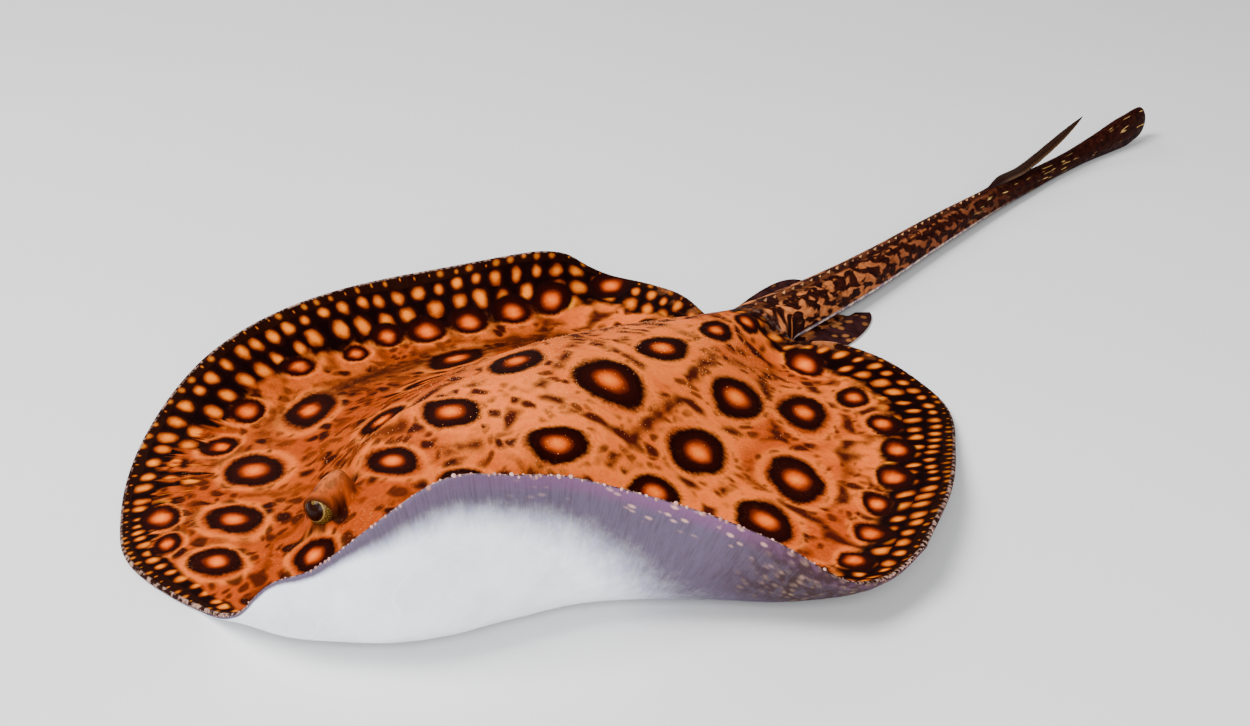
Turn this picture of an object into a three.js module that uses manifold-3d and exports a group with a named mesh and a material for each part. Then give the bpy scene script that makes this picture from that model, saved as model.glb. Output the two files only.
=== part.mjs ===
// A freshwater stingray at life size, lying on its belly, as a still museum model.
// Millimetres, +Z up, the head toward -Y and the tail toward +Y, the animal's left toward +X.
//
// Every piece is first laid out flat and symmetric, as the animal lies on an even floor.
// A short chain of bends then gives the pose: the left front of the disc is folded up against
// an upright pane, the right margin stands up as a rim, and the tail swings a little to the left.
import * as THREE from "three";
import { mergeVertices } from "three/addons/utils/BufferGeometryUtils.js";
import Module from "manifold-3d";

const wasm = await Module();
wasm.setup();

// ---------------------------------------------------------------- driving sizes, flat, in mm
const GAP = 0.3; // between touching pieces
const MARGIN_THICKNESS = 1.5; // of the disc at its very edge
const FIN_THICKNESS = 9.5; // what the fin gains from its edge to its root
const DISC_RADIUS = 118.5; // from the disc's centre to its side margin
const SHOULDER_GAIN = 1.5; // a little more radius at the front corners
const LOBE_GAIN = 12.5; // the rounded lobe each side of the tail
const NOTCH_LOSS = 10; // where the disc draws in to the tail
const SNOUT_KNOB = 3; // the small point of the snout
const FRONT_LOSS = 8; // the front is a little blunter than a circle
const CORNER_GAIN = 3; // and squarer beside the snout

const HEAD_FRONT = -96; // front end of the head's firm core
const HEAD_BACK = -42; // where the head meets the trunk
const TRUNK_BACK = 104; // where the trunk meets the tail
const FAN_END = 171.5; // degrees from the snout to the last fin ray

const TAIL_SPLITS = [104, 200, 300, 405]; // ends of the three tail lengths
const EYE = { x: 17.4, y: -71.6, z: 22, radius: 4.6 };
const EYE_MOUND = { x: 18.8, y: -68.2, height: 11, radius: 5.8 };
const SPIRACLE = { x: 24.6, y: -56.5, depth: 6, halfWidth: 4.2, halfLength: 6 };
const STING = { base: 278, length: 74, rise: 12.4, leaves: 0.3, width: 4.4, thickness: 3.2 };

// Grid steps of the faceted solids.
const FAN_STEPS = 48;
const FIN_CELLS = 6;
const HEAD_CELLS = 22;
const TRUNK_CELLS = 10;
const TAIL_SIDES = 12;
const TAIL_STEP = 7;

// ---------------------------------------------------------------- curves
const bell = (v, centre, width) => Math.exp(-(((v - centre) / width) ** 2));

const clamp = (v, low, high) => Math.min(high, Math.max(low, v));

// A smooth step from 0 at `from` to 1 at `to`.
function ramp(v, from, to) {
  const t = clamp((v - from) / (to - from), 0, 1);
  return t * t * (3 - 2 * t);
}

// A smooth curve through a few [place, value] stations, level past both ends.
function through(stations) {
  const last = stations.length - 1;
  const slope = stations.map((s, i) =>
    i === 0 || i === last
      ? 0
      : (stations[i + 1][1] - stations[i - 1][1]) / (stations[i + 1][0] - stations[i - 1][0]),
  );
  return (v) => {
    let i = 0;
    while (i < last - 1 && v >= stations[i + 1][0]) i += 1;
    const step = stations[i + 1][0] - stations[i][0];
    const t = clamp((v - stations[i][0]) / step, 0, 1);
    const a = stations[i][1] * (1 + 2 * t) * (1 - t) ** 2;
    const b = stations[i + 1][1] * t * t * (3 - 2 * t);
    return a + b + step * (slope[i] * t * (1 - t) ** 2 - slope[i + 1] * t * t * (1 - t));
  };
}

// ---------------------------------------------------------------- the flat animal
// Radius of the disc at an angle in degrees from the snout.
function discRadius(angle) {
  const a = Math.abs(angle);
  return (
    DISC_RADIUS +
    SHOULDER_GAIN * bell(a, 50, 35) +
    LOBE_GAIN * bell(a, 150, 15) -
    NOTCH_LOSS * bell(a, 180, 12) +
    SNOUT_KNOB * bell(a, 0, 5) +
    CORNER_GAIN * bell(a, 30, 10) -
    FRONT_LOSS * bell(a, 0, 18)
  );
}

// Half width of the firm core of head and trunk, from the snout to the tail.
const coreHalfWidth = through([
  [-96, 4], [-92, 12], [-84, 19.5], [-72, 24.5], [-55, 31], [-38, 40],
  [-15, 45], [15, 43], [45, 37], [75, 27], [95, 16.5], [104, 12.8],
]);

// Width and height of the mound of the back over the fins' own thickness.
const moundWidth = through([
  [-120, 20], [-95, 22], [-70, 27], [-40, 40], [-15, 45], [20, 41], [60, 30], [90, 17], [105, 13.5],
]);
const moundHeight = through([
  [-125, 0], [-108, 0.5], [-92, 6], [-78, 12], [-60, 17], [-35, 22],
  [-10, 24], [25, 22], [60, 18], [90, 15.5], [110, 14.8],
]);

// Height of the shoulder ridge, and how far from the midline it runs.
const ridgeHeight = through([[-58, 0], [-50, 2.4], [-34, 2.6], [-20, 0]]);
const ridgeHalfGauge = through([[-58, 24.5], [-42, 22.5], [-20, 18.5]]);

// Height of the upper skin over the floor at a flat place.
function backHeight(x, y) {
  const side = Math.abs(x);
  const angle = (Math.atan2(side, -y) * 180) / Math.PI;
  const reach = Math.min(1, Math.hypot(x, y) / discRadius(angle));
  const fin = MARGIN_THICKNESS + FIN_THICKNESS * (1 - reach ** 2.2);
  const mound = moundHeight(y) * Math.exp(-((side / moundWidth(y)) ** 2.6));
  const ridge = ridgeHeight(y) * bell(side, ridgeHalfGauge(y), 4.2);
  const fromEye = Math.hypot(side - EYE_MOUND.x, y - EYE_MOUND.y);
  const eyeMound = EYE_MOUND.height * Math.exp(-((fromEye / EYE_MOUND.radius) ** 3));
  const pit =
    SPIRACLE.depth *
    Math.exp(
      -(((side - SPIRACLE.x) / SPIRACLE.halfWidth) ** 2 +
        ((y - SPIRACLE.y) / SPIRACLE.halfLength) ** 2),
    );
  return fin + mound + ridge + eyeMound - pit;
}

// ---------------------------------------------------------------- the pose
// Final slope of the turned-up rim, in degrees, by the angle from the snout (right is minus).
const rimSlope = through([
  [-176, 0], [-167, 24], [-160, 21], [-153, 18], [-149, 25], [-145, 43], [-140, 53], [-120, 50],
  [-95, 46], [-78, 37], [-62, 18], [-50, 5], [-42, 0], [70, 0], [85, 20], [100, 34], [115, 26],
  [130, 12], [142, 4], [152, 5], [161, 20], [167, 26], [176, 0],
]);
// How far in from the margin the rim starts to turn up.
const rimBand = through([
  [-180, 24], [-160, 34], [-150, 40], [-120, 40], [-80, 38], [-60, 30], [0, 20],
  [90, 28], [120, 26], [150, 26], [180, 24],
]);
const RIM_BEND = 20; // radius of the rim's bend

// Rolls a length past a bend's start: returns how far out and how far up it then reaches.
function roll(length, height, bend, slope) {
  const turned = clamp(length / bend, 0, slope);
  const straight = length - turned * bend;
  return {
    out: bend * Math.sin(turned) + straight * Math.cos(turned) - height * Math.sin(turned),
    up: bend * (1 - Math.cos(turned)) + straight * Math.sin(turned) + height * Math.cos(turned),
  };
}

function turnUpRim([x, y, z]) {
  const angle = (Math.atan2(x, -y) * 180) / Math.PI;
  const radius = Math.hypot(x, y);
  const start = discRadius(angle) - rimBand(angle);
  const slope = (rimSlope(angle) * Math.PI) / 180;
  if (radius <= start || slope <= 0) return [x, y, z];
  const rolled = roll(radius - start, z, RIM_BEND, slope);
  const scale = (start + rolled.out) / radius;
  return [x * scale, y * scale, rolled.up];
}

const SPINE_BOW = 5; // the spine bows to the right at mid disc
const bowSpine = ([x, y, z]) => [x - SPINE_BOW * bell(y, 10, 75), y, z];

// The upright pane runs across the animal at this yaw, in front of its left.
const PANE_YAW = (35 * Math.PI) / 180;
const FOLD_BEND = 22;
const FOLD_SLOPE = (88 * Math.PI) / 180;
// How far toward the pane the fold starts, by the place along the pane.
const foldStart = through([
  [-130, 72], [-90, 69], [-76, 66], [-62, 67], [-50, 70], [-35, 71], [-22, 68], [-8, 62],
  [10, 59], [50, 60], [75, 59], [90, 55], [105, 44], [125, 40],
]);
// How much nearer the pane the folded base is pushed there.
const foldPush = through([
  [-130, -8], [-90, -9], [-76, -3], [-62, 2.5], [-50, 1.5], [-35, 1], [-8, 0], [10, -4.5],
  [25, -6.5], [45, -7], [66, -4], [84, 3], [100, 5], [125, 0],
]);
// How much the fin is drawn out past the fold there.
const foldStretch = through([
  [-90, 1], [-76, 1.14], [-62, 1.36], [-50, 1.43], [-35, 1.42], [-22, 1.3], [-8, 1.06], [10, 0.95],
  [28, 0.91], [48, 0.92], [66, 0.97], [84, 1],
]);

function foldAgainstPane([x, y, z]) {
  const along = Math.cos(PANE_YAW) * x + Math.sin(PANE_YAW) * y;
  let toward = Math.sin(PANE_YAW) * x - Math.cos(PANE_YAW) * y;
  let height = z;
  const start = foldStart(along);
  const past = toward - start;
  if (past <= 0) {
    toward += foldPush(along) * ramp(toward, 5, 60);
  } else {
    const rolled = roll(past * foldStretch(along), z, FOLD_BEND, FOLD_SLOPE);
    toward = start + foldPush(along) + rolled.out;
    height = rolled.up;
  }
  return [
    Math.cos(PANE_YAW) * along + Math.sin(PANE_YAW) * toward,
    Math.sin(PANE_YAW) * along - Math.cos(PANE_YAW) * toward,
    height,
  ];
}

// The disc takes every bend, and the tail and pelvic fins only bow and swing.
const poseDisc = (p) => foldAgainstPane(bowSpine(turnUpRim(p)));

const tailSwing = through([[96, 0], [166, 5], [230, 6.5], [290, 9], [350, 15], [405, 23.7]]);

function poseTail(p) {
  const [x, y, z] = bowSpine(p);
  return [x + tailSwing(y), y, z];
}

// ---------------------------------------------------------------- closed meshes
// A closed body from rings of equal length: skins between the rings and a flat fan at each end.
function ringBody(rings) {
  const size = rings[0].length;
  const positions = rings.flat(2);
  const index = [];
  for (let i = 0; i + 1 < rings.length; i += 1) {
    for (let j = 0; j < size; j += 1) {
      const a = i * size + j;
      const b = i * size + ((j + 1) % size);
      index.push(a, b, b + size, a, b + size, a + size);
    }
  }
  for (const [ring, flip] of [[0, true], [rings.length - 1, false]]) {
    const first = ring * size;
    for (let j = 0; j < size - 2; j += 1) {
      // A zigzag across the ring keeps the end's triangles well shaped.
      const low = first + Math.ceil(j / 2);
      const high = first + size - 1 - Math.floor(j / 2);
      const next = j % 2 ? high - 1 : low + 1;
      index.push(...(flip ? [low, high, next] : [low, next, high]));
    }
  }
  return closed(positions, index);
}

// A closed slab between two grids of rows: the upper skin, the lower skin and the walls.
function slab(upper, lower) {
  return ringBody(upper.map((row, i) => [...row, ...[...lower[i]].reverse()]));
}

function closed(positions, index) {
  const geometry = new THREE.BufferGeometry();
  geometry.setAttribute("position", new THREE.Float32BufferAttribute(positions, 3));
  geometry.setIndex(index);
  if (volume(geometry) < 0) index.reverse();
  geometry.setIndex(index);
  return geometry;
}

function volume(geometry) {
  const p = geometry.getAttribute("position");
  const corner = (i) => new THREE.Vector3().fromBufferAttribute(p, geometry.index.getX(i));
  let sum = 0;
  for (let i = 0; i < geometry.index.count; i += 3) {
    sum += corner(i).dot(corner(i + 1).cross(corner(i + 2)));
  }
  return sum / 6;
}

function solidOf(geometry) {
  const bare = new THREE.BufferGeometry();
  bare.setAttribute("position", geometry.getAttribute("position"));
  bare.setIndex(geometry.index);
  const merged = mergeVertices(bare, 1e-4);
  return new wasm.Manifold(
    new wasm.Mesh({
      numProp: 3,
      vertProperties: merged.getAttribute("position").array,
      triVerts: new Uint32Array(merged.index.array),
    }),
  );
}

function geometryOf(solid) {
  const mesh = solid.getMesh();
  const geometry = new THREE.BufferGeometry();
  geometry.setAttribute("position", new THREE.BufferAttribute(mesh.vertProperties, 3));
  geometry.setIndex(new THREE.BufferAttribute(mesh.triVerts, 1));
  return geometry;
}

// ---------------------------------------------------------------- head, trunk and pectoral fins
// The fan of fin rays: each station has a place on the core's edge and an angle on the margin.
const station = (k) => ({
  y: HEAD_FRONT + (TRUNK_BACK - HEAD_FRONT) * (k / FAN_STEPS) ** 1.25,
  angle: (FAN_END * (k + 1)) / (FAN_STEPS + 1),
});
const stations = Array.from({ length: FAN_STEPS + 1 }, (_, k) => station(k));
const headLast = stations.findIndex((s) => s.y > HEAD_BACK) - 1;

// A length of the core between two stations, its ends drawn in by half a gap.
// Each step between stations is cut into `finer` rows, with straight edges beside the fins.
function core(from, to, cells, finer) {
  const across = Array.from({ length: cells + 1 }, (_, j) => (2 * j) / cells - 1);
  const rows = [];
  for (let i = 0; i <= (to - from) * finer; i += 1) {
    const k = Math.min(to - 1, from + Math.floor(i / finer));
    const share = from + i / finer - k;
    const mix = (a, b) => a + (b - a) * share;
    rows.push({
      y: mix(stations[k].y, stations[k + 1].y),
      half: mix(coreHalfWidth(stations[k].y), coreHalfWidth(stations[k + 1].y)),
    });
  }
  rows[0].y += GAP / 2;
  rows[rows.length - 1].y -= GAP / 2;
  const grid = (height) =>
    rows.map(({ y, half }) => across.map((x) => poseDisc([x * half, y, height(x * half, y)])));
  return slab(grid(backHeight), grid(() => 0));
}

// A place on the core's edge, a gap outside it.
function besideCore({ y }) {
  const lean = coreHalfWidth(y + 0.5) - coreHalfWidth(y - 0.5);
  const square = Math.hypot(1, lean);
  return [coreHalfWidth(y) + GAP / square, y - (GAP * lean) / square];
}

function onMargin(angle) {
  const turn = (angle * Math.PI) / 180;
  return [discRadius(angle) * Math.sin(turn), -discRadius(angle) * Math.cos(turn)];
}

// One pectoral fin, from the core's edge out to the margin; side is +1 left and -1 right.
function pectoralFin(side) {
  const rays = stations.map((s) => ({ root: besideCore(s), edge: onMargin(s.angle) }));
  rays[0].root = [coreHalfWidth(HEAD_FRONT) + GAP, HEAD_FRONT - GAP];
  rays.unshift({ root: [GAP / 2, HEAD_FRONT - GAP], edge: [GAP / 2, -discRadius(0)] });
  const spread = Array.from({ length: FIN_CELLS + 1 }, (_, j) => 1 - (1 - j / FIN_CELLS) ** 1.25);
  // Run from the animal's right to its left, as the core does, so that the facing walls match.
  if (side > 0) spread.reverse();
  const grid = (height) =>
    rays.map(({ root, edge }) =>
      spread.map((t) => {
        const x = root[0] + (edge[0] - root[0]) * t;
        const y = root[1] + (edge[1] - root[1]) * t;
        return poseDisc([side * x, y, height(x, y)]);
      }),
    );
  return slab(grid(backHeight), grid(() => 0));
}

// ---------------------------------------------------------------- tail, pelvic fins, eyes, sting
const tailHalfWidth = through([
  [104, 12.8], [122, 10.2], [160, 8], [200, 6.7], [240, 5.8], [285, 4.6], [335, 3.6],
  [380, 3.4], [396, 2.9], [405, 1.2],
]);
const tailHeight = through([
  [104, 17], [122, 15.8], [160, 14.6], [200, 12.8], [240, 11.4], [285, 9.2], [325, 7.7],
  [348, 8.2], [364, 10.4], [380, 13.8], [390, 14.6], [398, 12.5], [405, 6],
]);
// The deep, paddle-like end of the tail turns up a little.
const tailTipLift = through([[386, 0], [396, 1.2], [405, 4.5]]);

// One cross section of the tail, resting on a small flat.
function tailRing(y) {
  const half = tailHalfWidth(y);
  const tall = tailHeight(y);
  const flat = Math.cos(Math.PI / TAIL_SIDES);
  return Array.from({ length: TAIL_SIDES }, (_, j) => {
    const turn = (2 * Math.PI * (j + 0.5)) / TAIL_SIDES;
    const z = (tall / 2) * (1 - Math.cos(turn) / flat);
    return poseTail([half * Math.sin(turn), y, clamp(z, 0, tall) + tailTipLift(y)]);
  });
}

function tailLength(from, to) {
  const steps = Math.ceil((to - from) / TAIL_STEP);
  const rings = [];
  for (let i = 0; i <= steps; i += 1) rings.push(tailRing(from + ((to - from) * i) / steps));
  return ringBody(rings);
}

// A pelvic fin: a rounded lobe that comes out beside the tail's root, under the disc.
const PELVIC = { front: 111, back: 154, reach: 12, sweep: 9, thickness: 2.8, edge: 1.1, lift: 1.3 };
const PELVIC_STEPS = 10;
const PELVIC_CELLS = 5;
function pelvicFin(side) {
  const grid = (height) =>
    Array.from({ length: PELVIC_STEPS + 1 }, (_, i) => {
      const t = i / PELVIC_STEPS;
      const y = PELVIC.front + (PELVIC.back - PELVIC.front) * t;
      const width = Math.max(0.8, PELVIC.reach * Math.sin(Math.PI * (0.16 + 0.84 * t)) ** 0.4);
      return Array.from({ length: PELVIC_CELLS + 1 }, (__, j) => {
        const s = j / PELVIC_CELLS;
        const x = tailHalfWidth(y) + GAP + width * s;
        // The right one's hind corner is lifted a little off the floor.
        const lifted = side < 0 ? PELVIC.lift * width * s * t ** 2 : 0;
        return poseTail([side * x, y + PELVIC.sweep * t * s, height(s, t) + lifted]);
      });
    });
  const gain = PELVIC.thickness - PELVIC.edge;
  return slab(grid((s, t) => PELVIC.edge + gain * (1 - s) * (1 - 0.6 * t)), grid(() => 0));
}

// The sting: a flat tapering spine that lies along the tail and then lifts off it.
const STING_STEPS = 12;
function sting() {
  const rings = [];
  for (let i = 0; i <= STING_STEPS; i += 1) {
    const t = i / STING_STEPS;
    const y = STING.base + STING.length * t;
    const taper = 1 - t ** 4;
    const half = 0.4 + (STING.width / 2 - 0.4) * taper;
    const thick = 0.7 + (STING.thickness - 0.7) * taper;
    const free = clamp((t - STING.leaves) / (1 - STING.leaves), 0, 1);
    const z = tailHeight(y) + GAP + STING.rise * free ** 1.3;
    rings.push([
      poseTail([-half, y, z + thick * 0.35]),
      poseTail([0, y, z]),
      poseTail([half, y, z + thick * 0.35]),
      poseTail([half * 0.55, y, z + thick]),
      poseTail([-half * 0.55, y, z + thick]),
    ]);
  }
  return ringBody(rings);
}

function eyeball(side, radius) {
  const centre = poseDisc([side * EYE.x, EYE.y, EYE.z]);
  return new THREE.IcosahedronGeometry(radius, 2).translate(...centre);
}

// ---------------------------------------------------------------- materials
const finish = (color, roughness) => new THREE.MeshStandardMaterial({ color, roughness, metalness: 0 });
const backSkin = finish("#c4703c", 0.55);
const tailSkin = finish("#4a2a1a", 0.6);
const pelvicSkin = finish("#2a1a16", 0.6);
const eyeFinish = finish("#6b5520", 0.15);
const stingFinish = finish("#2e2620", 0.45);

// ---------------------------------------------------------------- the model
const ray = new THREE.Group();
function add(name, geometry, material) {
  const mesh = new THREE.Mesh(geometry, material);
  mesh.name = name;
  ray.add(mesh);
}

let headSolid = solidOf(core(0, headLast, HEAD_CELLS, 2));
for (const side of [1, -1]) {
  headSolid = headSolid.subtract(solidOf(eyeball(side, EYE.radius + GAP)));
}
add("head", geometryOf(headSolid), backSkin);
add("trunk", core(headLast, FAN_STEPS, TRUNK_CELLS, 1), backSkin);
for (const [name, side] of [["left", 1], ["right", -1]]) {
  add("pectoral_fin_" + name, pectoralFin(side), backSkin);
  add("pelvic_fin_" + name, pelvicFin(side), pelvicSkin);
  add("eye_" + name, eyeball(side, EYE.radius), eyeFinish);
}
["tail_base", "tail_middle", "tail_end"].forEach((name, i) => {
  add(name, tailLength(TAIL_SPLITS[i] + GAP / 2, TAIL_SPLITS[i + 1] - GAP / 2), tailSkin);
});
add("tail_sting", sting(), stingFinish);

// The origin stands under the middle of the whole model, on the floor.
const box = new THREE.Box3().setFromObject(ray);
const middle = box.getCenter(new THREE.Vector3());
ray.position.set(-middle.x, -middle.y, -box.min.z);

export default ray;
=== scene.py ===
# %% [markdown]
# # A freshwater stingray, at life size
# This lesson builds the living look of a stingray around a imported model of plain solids.
# The solids say where everything is and how big it is. The lesson adds one seamless skin with its rings and
# spots, eyes, thorns, a barbed sting, soft light and a camera.
# Read the text cells first: each says what a part is on the real animal, how it could be made, and why it is
# made this way here.

# %% Load the frame
import math

import bmesh
import bpy
import numpy as np
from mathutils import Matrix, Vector


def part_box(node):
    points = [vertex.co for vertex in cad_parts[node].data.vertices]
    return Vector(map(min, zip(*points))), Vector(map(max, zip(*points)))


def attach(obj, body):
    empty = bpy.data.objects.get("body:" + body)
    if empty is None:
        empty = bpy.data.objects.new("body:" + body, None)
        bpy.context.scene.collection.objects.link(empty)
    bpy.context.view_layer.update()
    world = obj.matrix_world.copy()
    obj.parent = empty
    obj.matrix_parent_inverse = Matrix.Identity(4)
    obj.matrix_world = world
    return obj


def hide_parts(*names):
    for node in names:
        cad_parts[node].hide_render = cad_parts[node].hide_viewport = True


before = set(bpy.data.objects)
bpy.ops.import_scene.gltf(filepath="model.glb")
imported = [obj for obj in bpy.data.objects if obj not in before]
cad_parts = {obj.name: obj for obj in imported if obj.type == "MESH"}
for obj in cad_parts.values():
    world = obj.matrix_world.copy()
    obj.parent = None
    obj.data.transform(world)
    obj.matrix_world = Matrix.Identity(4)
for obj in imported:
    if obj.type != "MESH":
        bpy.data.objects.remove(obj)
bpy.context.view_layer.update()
MM = 0.001
print("solids:", sorted(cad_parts))

# %% [markdown]
# ## The flat animal
# A ray is hard to model in its bent pose and easy to describe when it lies flat: a disc with a mound for the
# back, ridges, two eye mounds and a long tail. So the animal is first laid out flat and symmetric in
# millimetres, snout toward -Y, and every height is a function of the flat place. Sculpting by hand would look as
# good, but a rule can be read, changed and repeated.

# %% Curves used everywhere
def bell(v, centre, width):
    """A smooth bump of height 1."""
    return np.exp(-(((v - centre) / width) ** 2))


def ramp(v, start, end):
    """A smooth step from 0 at start to 1 at end."""
    t = np.clip((v - start) / (end - start), 0, 1)
    return t * t * (3 - 2 * t)


def through(*stations):
    """A smooth curve through (place, value) stations, level past both ends."""
    place, value = (np.array(column, float) for column in zip(*stations))
    slope = np.zeros(len(place))
    slope[1:-1] = (value[2:] - value[:-2]) / (place[2:] - place[:-2])

    def curve(v):
        v = np.asarray(v, float)
        i = np.clip(np.searchsorted(place, v, side="right") - 1, 0, len(place) - 2)
        step = place[i + 1] - place[i]
        t = np.clip((v - place[i]) / step, 0, 1)
        first = value[i] * (1 + 2 * t) * (1 - t) ** 2
        second = value[i + 1] * t * t * (3 - 2 * t)
        bend = step * (slope[i] * t * (1 - t) ** 2 - slope[i + 1] * t * t * (1 - t))
        return first + second + bend

    return curve


# %% Sizes of the flat animal, in mm
MARGIN_THICKNESS = 1.5
FIN_THICKNESS = 9.5 # of a fin at its root
DISC_RADIUS = 118.5
HEAD_FRONT, TRUNK_BACK, FAN_END, TAIL_TIP = -96.0, 104.0, 171.5, 405.0
EYE_AT = np.array([17.4, -71.6, 22.0]) # the left one; the animal is the same on both sides
EYE_RADIUS = 4.6
EYE_MOUND_AT, EYE_MOUND_HEIGHT, EYE_MOUND_RADIUS = (18.8, -68.2), 10.3, 6.5
SPIRACLE_AT, SPIRACLE_DEPTH, SPIRACLE_SIZE = (24.6, -56.5), 6.0, (4.2, 6.0)
RIDGE_WIDTH = 4.2
FIN_FALL, MOUND_FALL, EYE_MOUND_FALL = 2.2, 2.6, 4 # powers: the higher, the fuller the form before it falls off

mound_width = through((-120, 20), (-95, 22), (-70, 27), (-40, 40), (-15, 45), (20, 41), (60, 30), (90, 17), (105, 13.5))
mound_height = through(
    (-125, 0), (-108, 0.5), (-92, 6), (-78, 12), (-60, 17), (-35, 22), (-10, 24), (25, 22), (60, 18), (90, 15.5),
    (110, 14.8))
ridge_height = through((-58, 0), (-50, 2.4), (-34, 2.6), (-20, 0))
ridge_gauge = through((-58, 24.5), (-42, 22.5), (-20, 18.5)) # how far each shoulder ridge is from the midline
tail_half_width = through(
    (104, 12.8), (122, 10.2), (160, 8), (200, 6.7), (240, 5.8), (285, 4.6), (335, 3.6), (380, 3.4), (396, 2.9),
    (405, 2.4))
tail_height = through(
    (104, 17), (122, 15.8), (160, 14.6), (200, 12.8), (240, 11.4), (285, 9.2), (325, 7.7), (348, 8.2), (364, 10.4),
    (380, 13.8), (390, 14.6), (398, 13.8), (405, 12))
tail_tip_lift = through((386, 0), (396, 1.2), (405, 2.2))


def disc_radius(angle):
    """Radius of the disc at an angle in degrees from the snout."""
    a = np.abs(angle)
    return (DISC_RADIUS + 1.5 * bell(a, 50, 35) + 12.5 * bell(a, 150, 15) - 10 * bell(a, 180, 12)
            + 3 * bell(a, 0, 5) + 3 * bell(a, 30, 10) - 8 * bell(a, 0, 18))


def angle_at(x, y):
    """Degrees from the snout, negative on the animal's right."""
    return np.degrees(np.arctan2(x, -y))


def back_height(x, y):
    """Height of the upper skin over the floor at a flat place."""
    side = np.abs(x)
    reach = np.minimum(1, np.hypot(x, y) / disc_radius(angle_at(side, y)))
    fin = MARGIN_THICKNESS + FIN_THICKNESS * (1 - reach**FIN_FALL)
    mound = mound_height(y) * np.exp(-((side / mound_width(y)) ** MOUND_FALL))
    ridge = ridge_height(y) * bell(side, ridge_gauge(y), RIDGE_WIDTH)
    from_eye = np.hypot(side - EYE_MOUND_AT[0], y - EYE_MOUND_AT[1])
    eye_mound = EYE_MOUND_HEIGHT * np.exp(-((from_eye / EYE_MOUND_RADIUS) ** EYE_MOUND_FALL))
    pit = SPIRACLE_DEPTH * bell(side, SPIRACLE_AT[0], SPIRACLE_SIZE[0]) * bell(y, SPIRACLE_AT[1], SPIRACLE_SIZE[1])
    return fin + mound + ridge + eye_mound - pit


print("the disc is", round(float(2 * disc_radius(90.0))), "mm wide,",
      "the back", round(float(back_height(0.0, -10.0))), "mm high")

# %% [markdown]
# ## The pose
# The ray lies on its belly. Its left front side is folded up as a wall against an upright pane, the far margin
# stands up as a rim, the spine bows a little and the tail swings to one side. An armature with weights could bend
# it, but a roll around a bend keeps the length of the skin exactly, so the rings stay the right size. Each bend
# is a function from a place to a place, used one after another, the same chain that bent the solids.

# %% Bends
# the raised rim and the fold, as curves over the angle from the snout or over the way along the pane
rim_slope = through(
    (-176, 0), (-167, 24), (-160, 21), (-153, 18), (-149, 25), (-145, 43), (-140, 53), (-120, 50), (-95, 46),
    (-78, 37), (-62, 18), (-50, 5), (-42, 0), (70, 0), (85, 20), (100, 34), (115, 26), (130, 12), (142, 4),
    (152, 5), (161, 20), (167, 26), (176, 0))
rim_band = through(
    (-180, 24), (-160, 34), (-150, 40), (-120, 40), (-80, 38), (-60, 30), (0, 20), (90, 28), (120, 26), (150, 26),
    (180, 24))
fold_start = through(
    (-130, 72), (-90, 69), (-76, 66), (-62, 67), (-50, 70), (-35, 71), (-22, 68), (-8, 62), (10, 59), (50, 60),
    (75, 59), (90, 55), (105, 44), (125, 40))
fold_push = through(
    (-130, -8), (-90, -9), (-76, -3), (-62, 2.5), (-50, 1.5), (-35, 1), (-8, 0), (10, -4.5), (25, -6.5), (45, -7),
    (66, -4), (84, 3), (100, 5), (125, 0))
fold_stretch = through(
    (-90, 1), (-76, 1.14), (-62, 1.36), (-50, 1.43), (-35, 1.42), (-22, 1.3), (-8, 1.06), (10, 0.95), (28, 0.91),
    (48, 0.92), (66, 0.97), (84, 1))
tail_swing = through((96, 0), (166, 5), (230, 6.5), (290, 9), (350, 15), (405, 23.7))
RIM_BEND, FOLD_BEND = 20.0, 22.0 # radii of the two bends
SPINE_BOW = 5.0
FOLD_SLOPE, PANE_YAW = math.radians(88), math.radians(35)


def roll(length, height, bend, slope):
    """How far out and how far up a length reaches when it rolls past the start of a bend."""
    turned = np.clip(length / bend, 0, slope)
    straight = length - turned * bend
    out = bend * np.sin(turned) + straight * np.cos(turned) - height * np.sin(turned)
    up = bend * (1 - np.cos(turned)) + straight * np.sin(turned) + height * np.cos(turned)
    return out, up


def turn_up_rim(x, y, z):
    angle, radius = angle_at(x, y), np.maximum(np.hypot(x, y), 1e-6)
    start = disc_radius(angle) - rim_band(angle)
    slope = np.radians(rim_slope(angle))
    out, up = roll(radius - start, z, RIM_BEND, slope)
    turned = (radius > start) & (slope > 0)
    scale = np.where(turned, (start + out) / radius, 1)
    return x * scale, y * scale, np.where(turned, up, z)


def bow_spine(x, y, z):
    return x - SPINE_BOW * bell(y, 10, 75), y, z


def fold_against_pane(x, y, z):
    along = math.cos(PANE_YAW) * x + math.sin(PANE_YAW) * y
    toward = math.sin(PANE_YAW) * x - math.cos(PANE_YAW) * y
    start, push = fold_start(along), fold_push(along)
    past = toward - start
    out, up = roll(past * fold_stretch(along), z, FOLD_BEND, FOLD_SLOPE)
    toward = np.where(past > 0, start + push + out, toward + push * ramp(toward, 5, 60))
    new_x = math.cos(PANE_YAW) * along + math.sin(PANE_YAW) * toward
    new_y = math.sin(PANE_YAW) * along - math.cos(PANE_YAW) * toward
    return new_x, new_y, np.where(past > 0, up, z)


def pose_disc(x, y, z):
    return fold_against_pane(*bow_spine(*turn_up_rim(x, y, z)))


def pose_tail(x, y, z):
    x, y, z = bow_spine(x, y, z)
    return x + tail_swing(y), y, z


# %% Where the flat animal stands in the frame
def posed(x, y, z, tailness=0.0):
    """The place in the frame, in metres, of flat places in mm."""
    disc, tail = np.array(pose_disc(x, y, z)), np.array(pose_tail(x, y, z))
    return ((disc + (tail - disc) * tailness).T + ORIGIN) * MM


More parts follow.
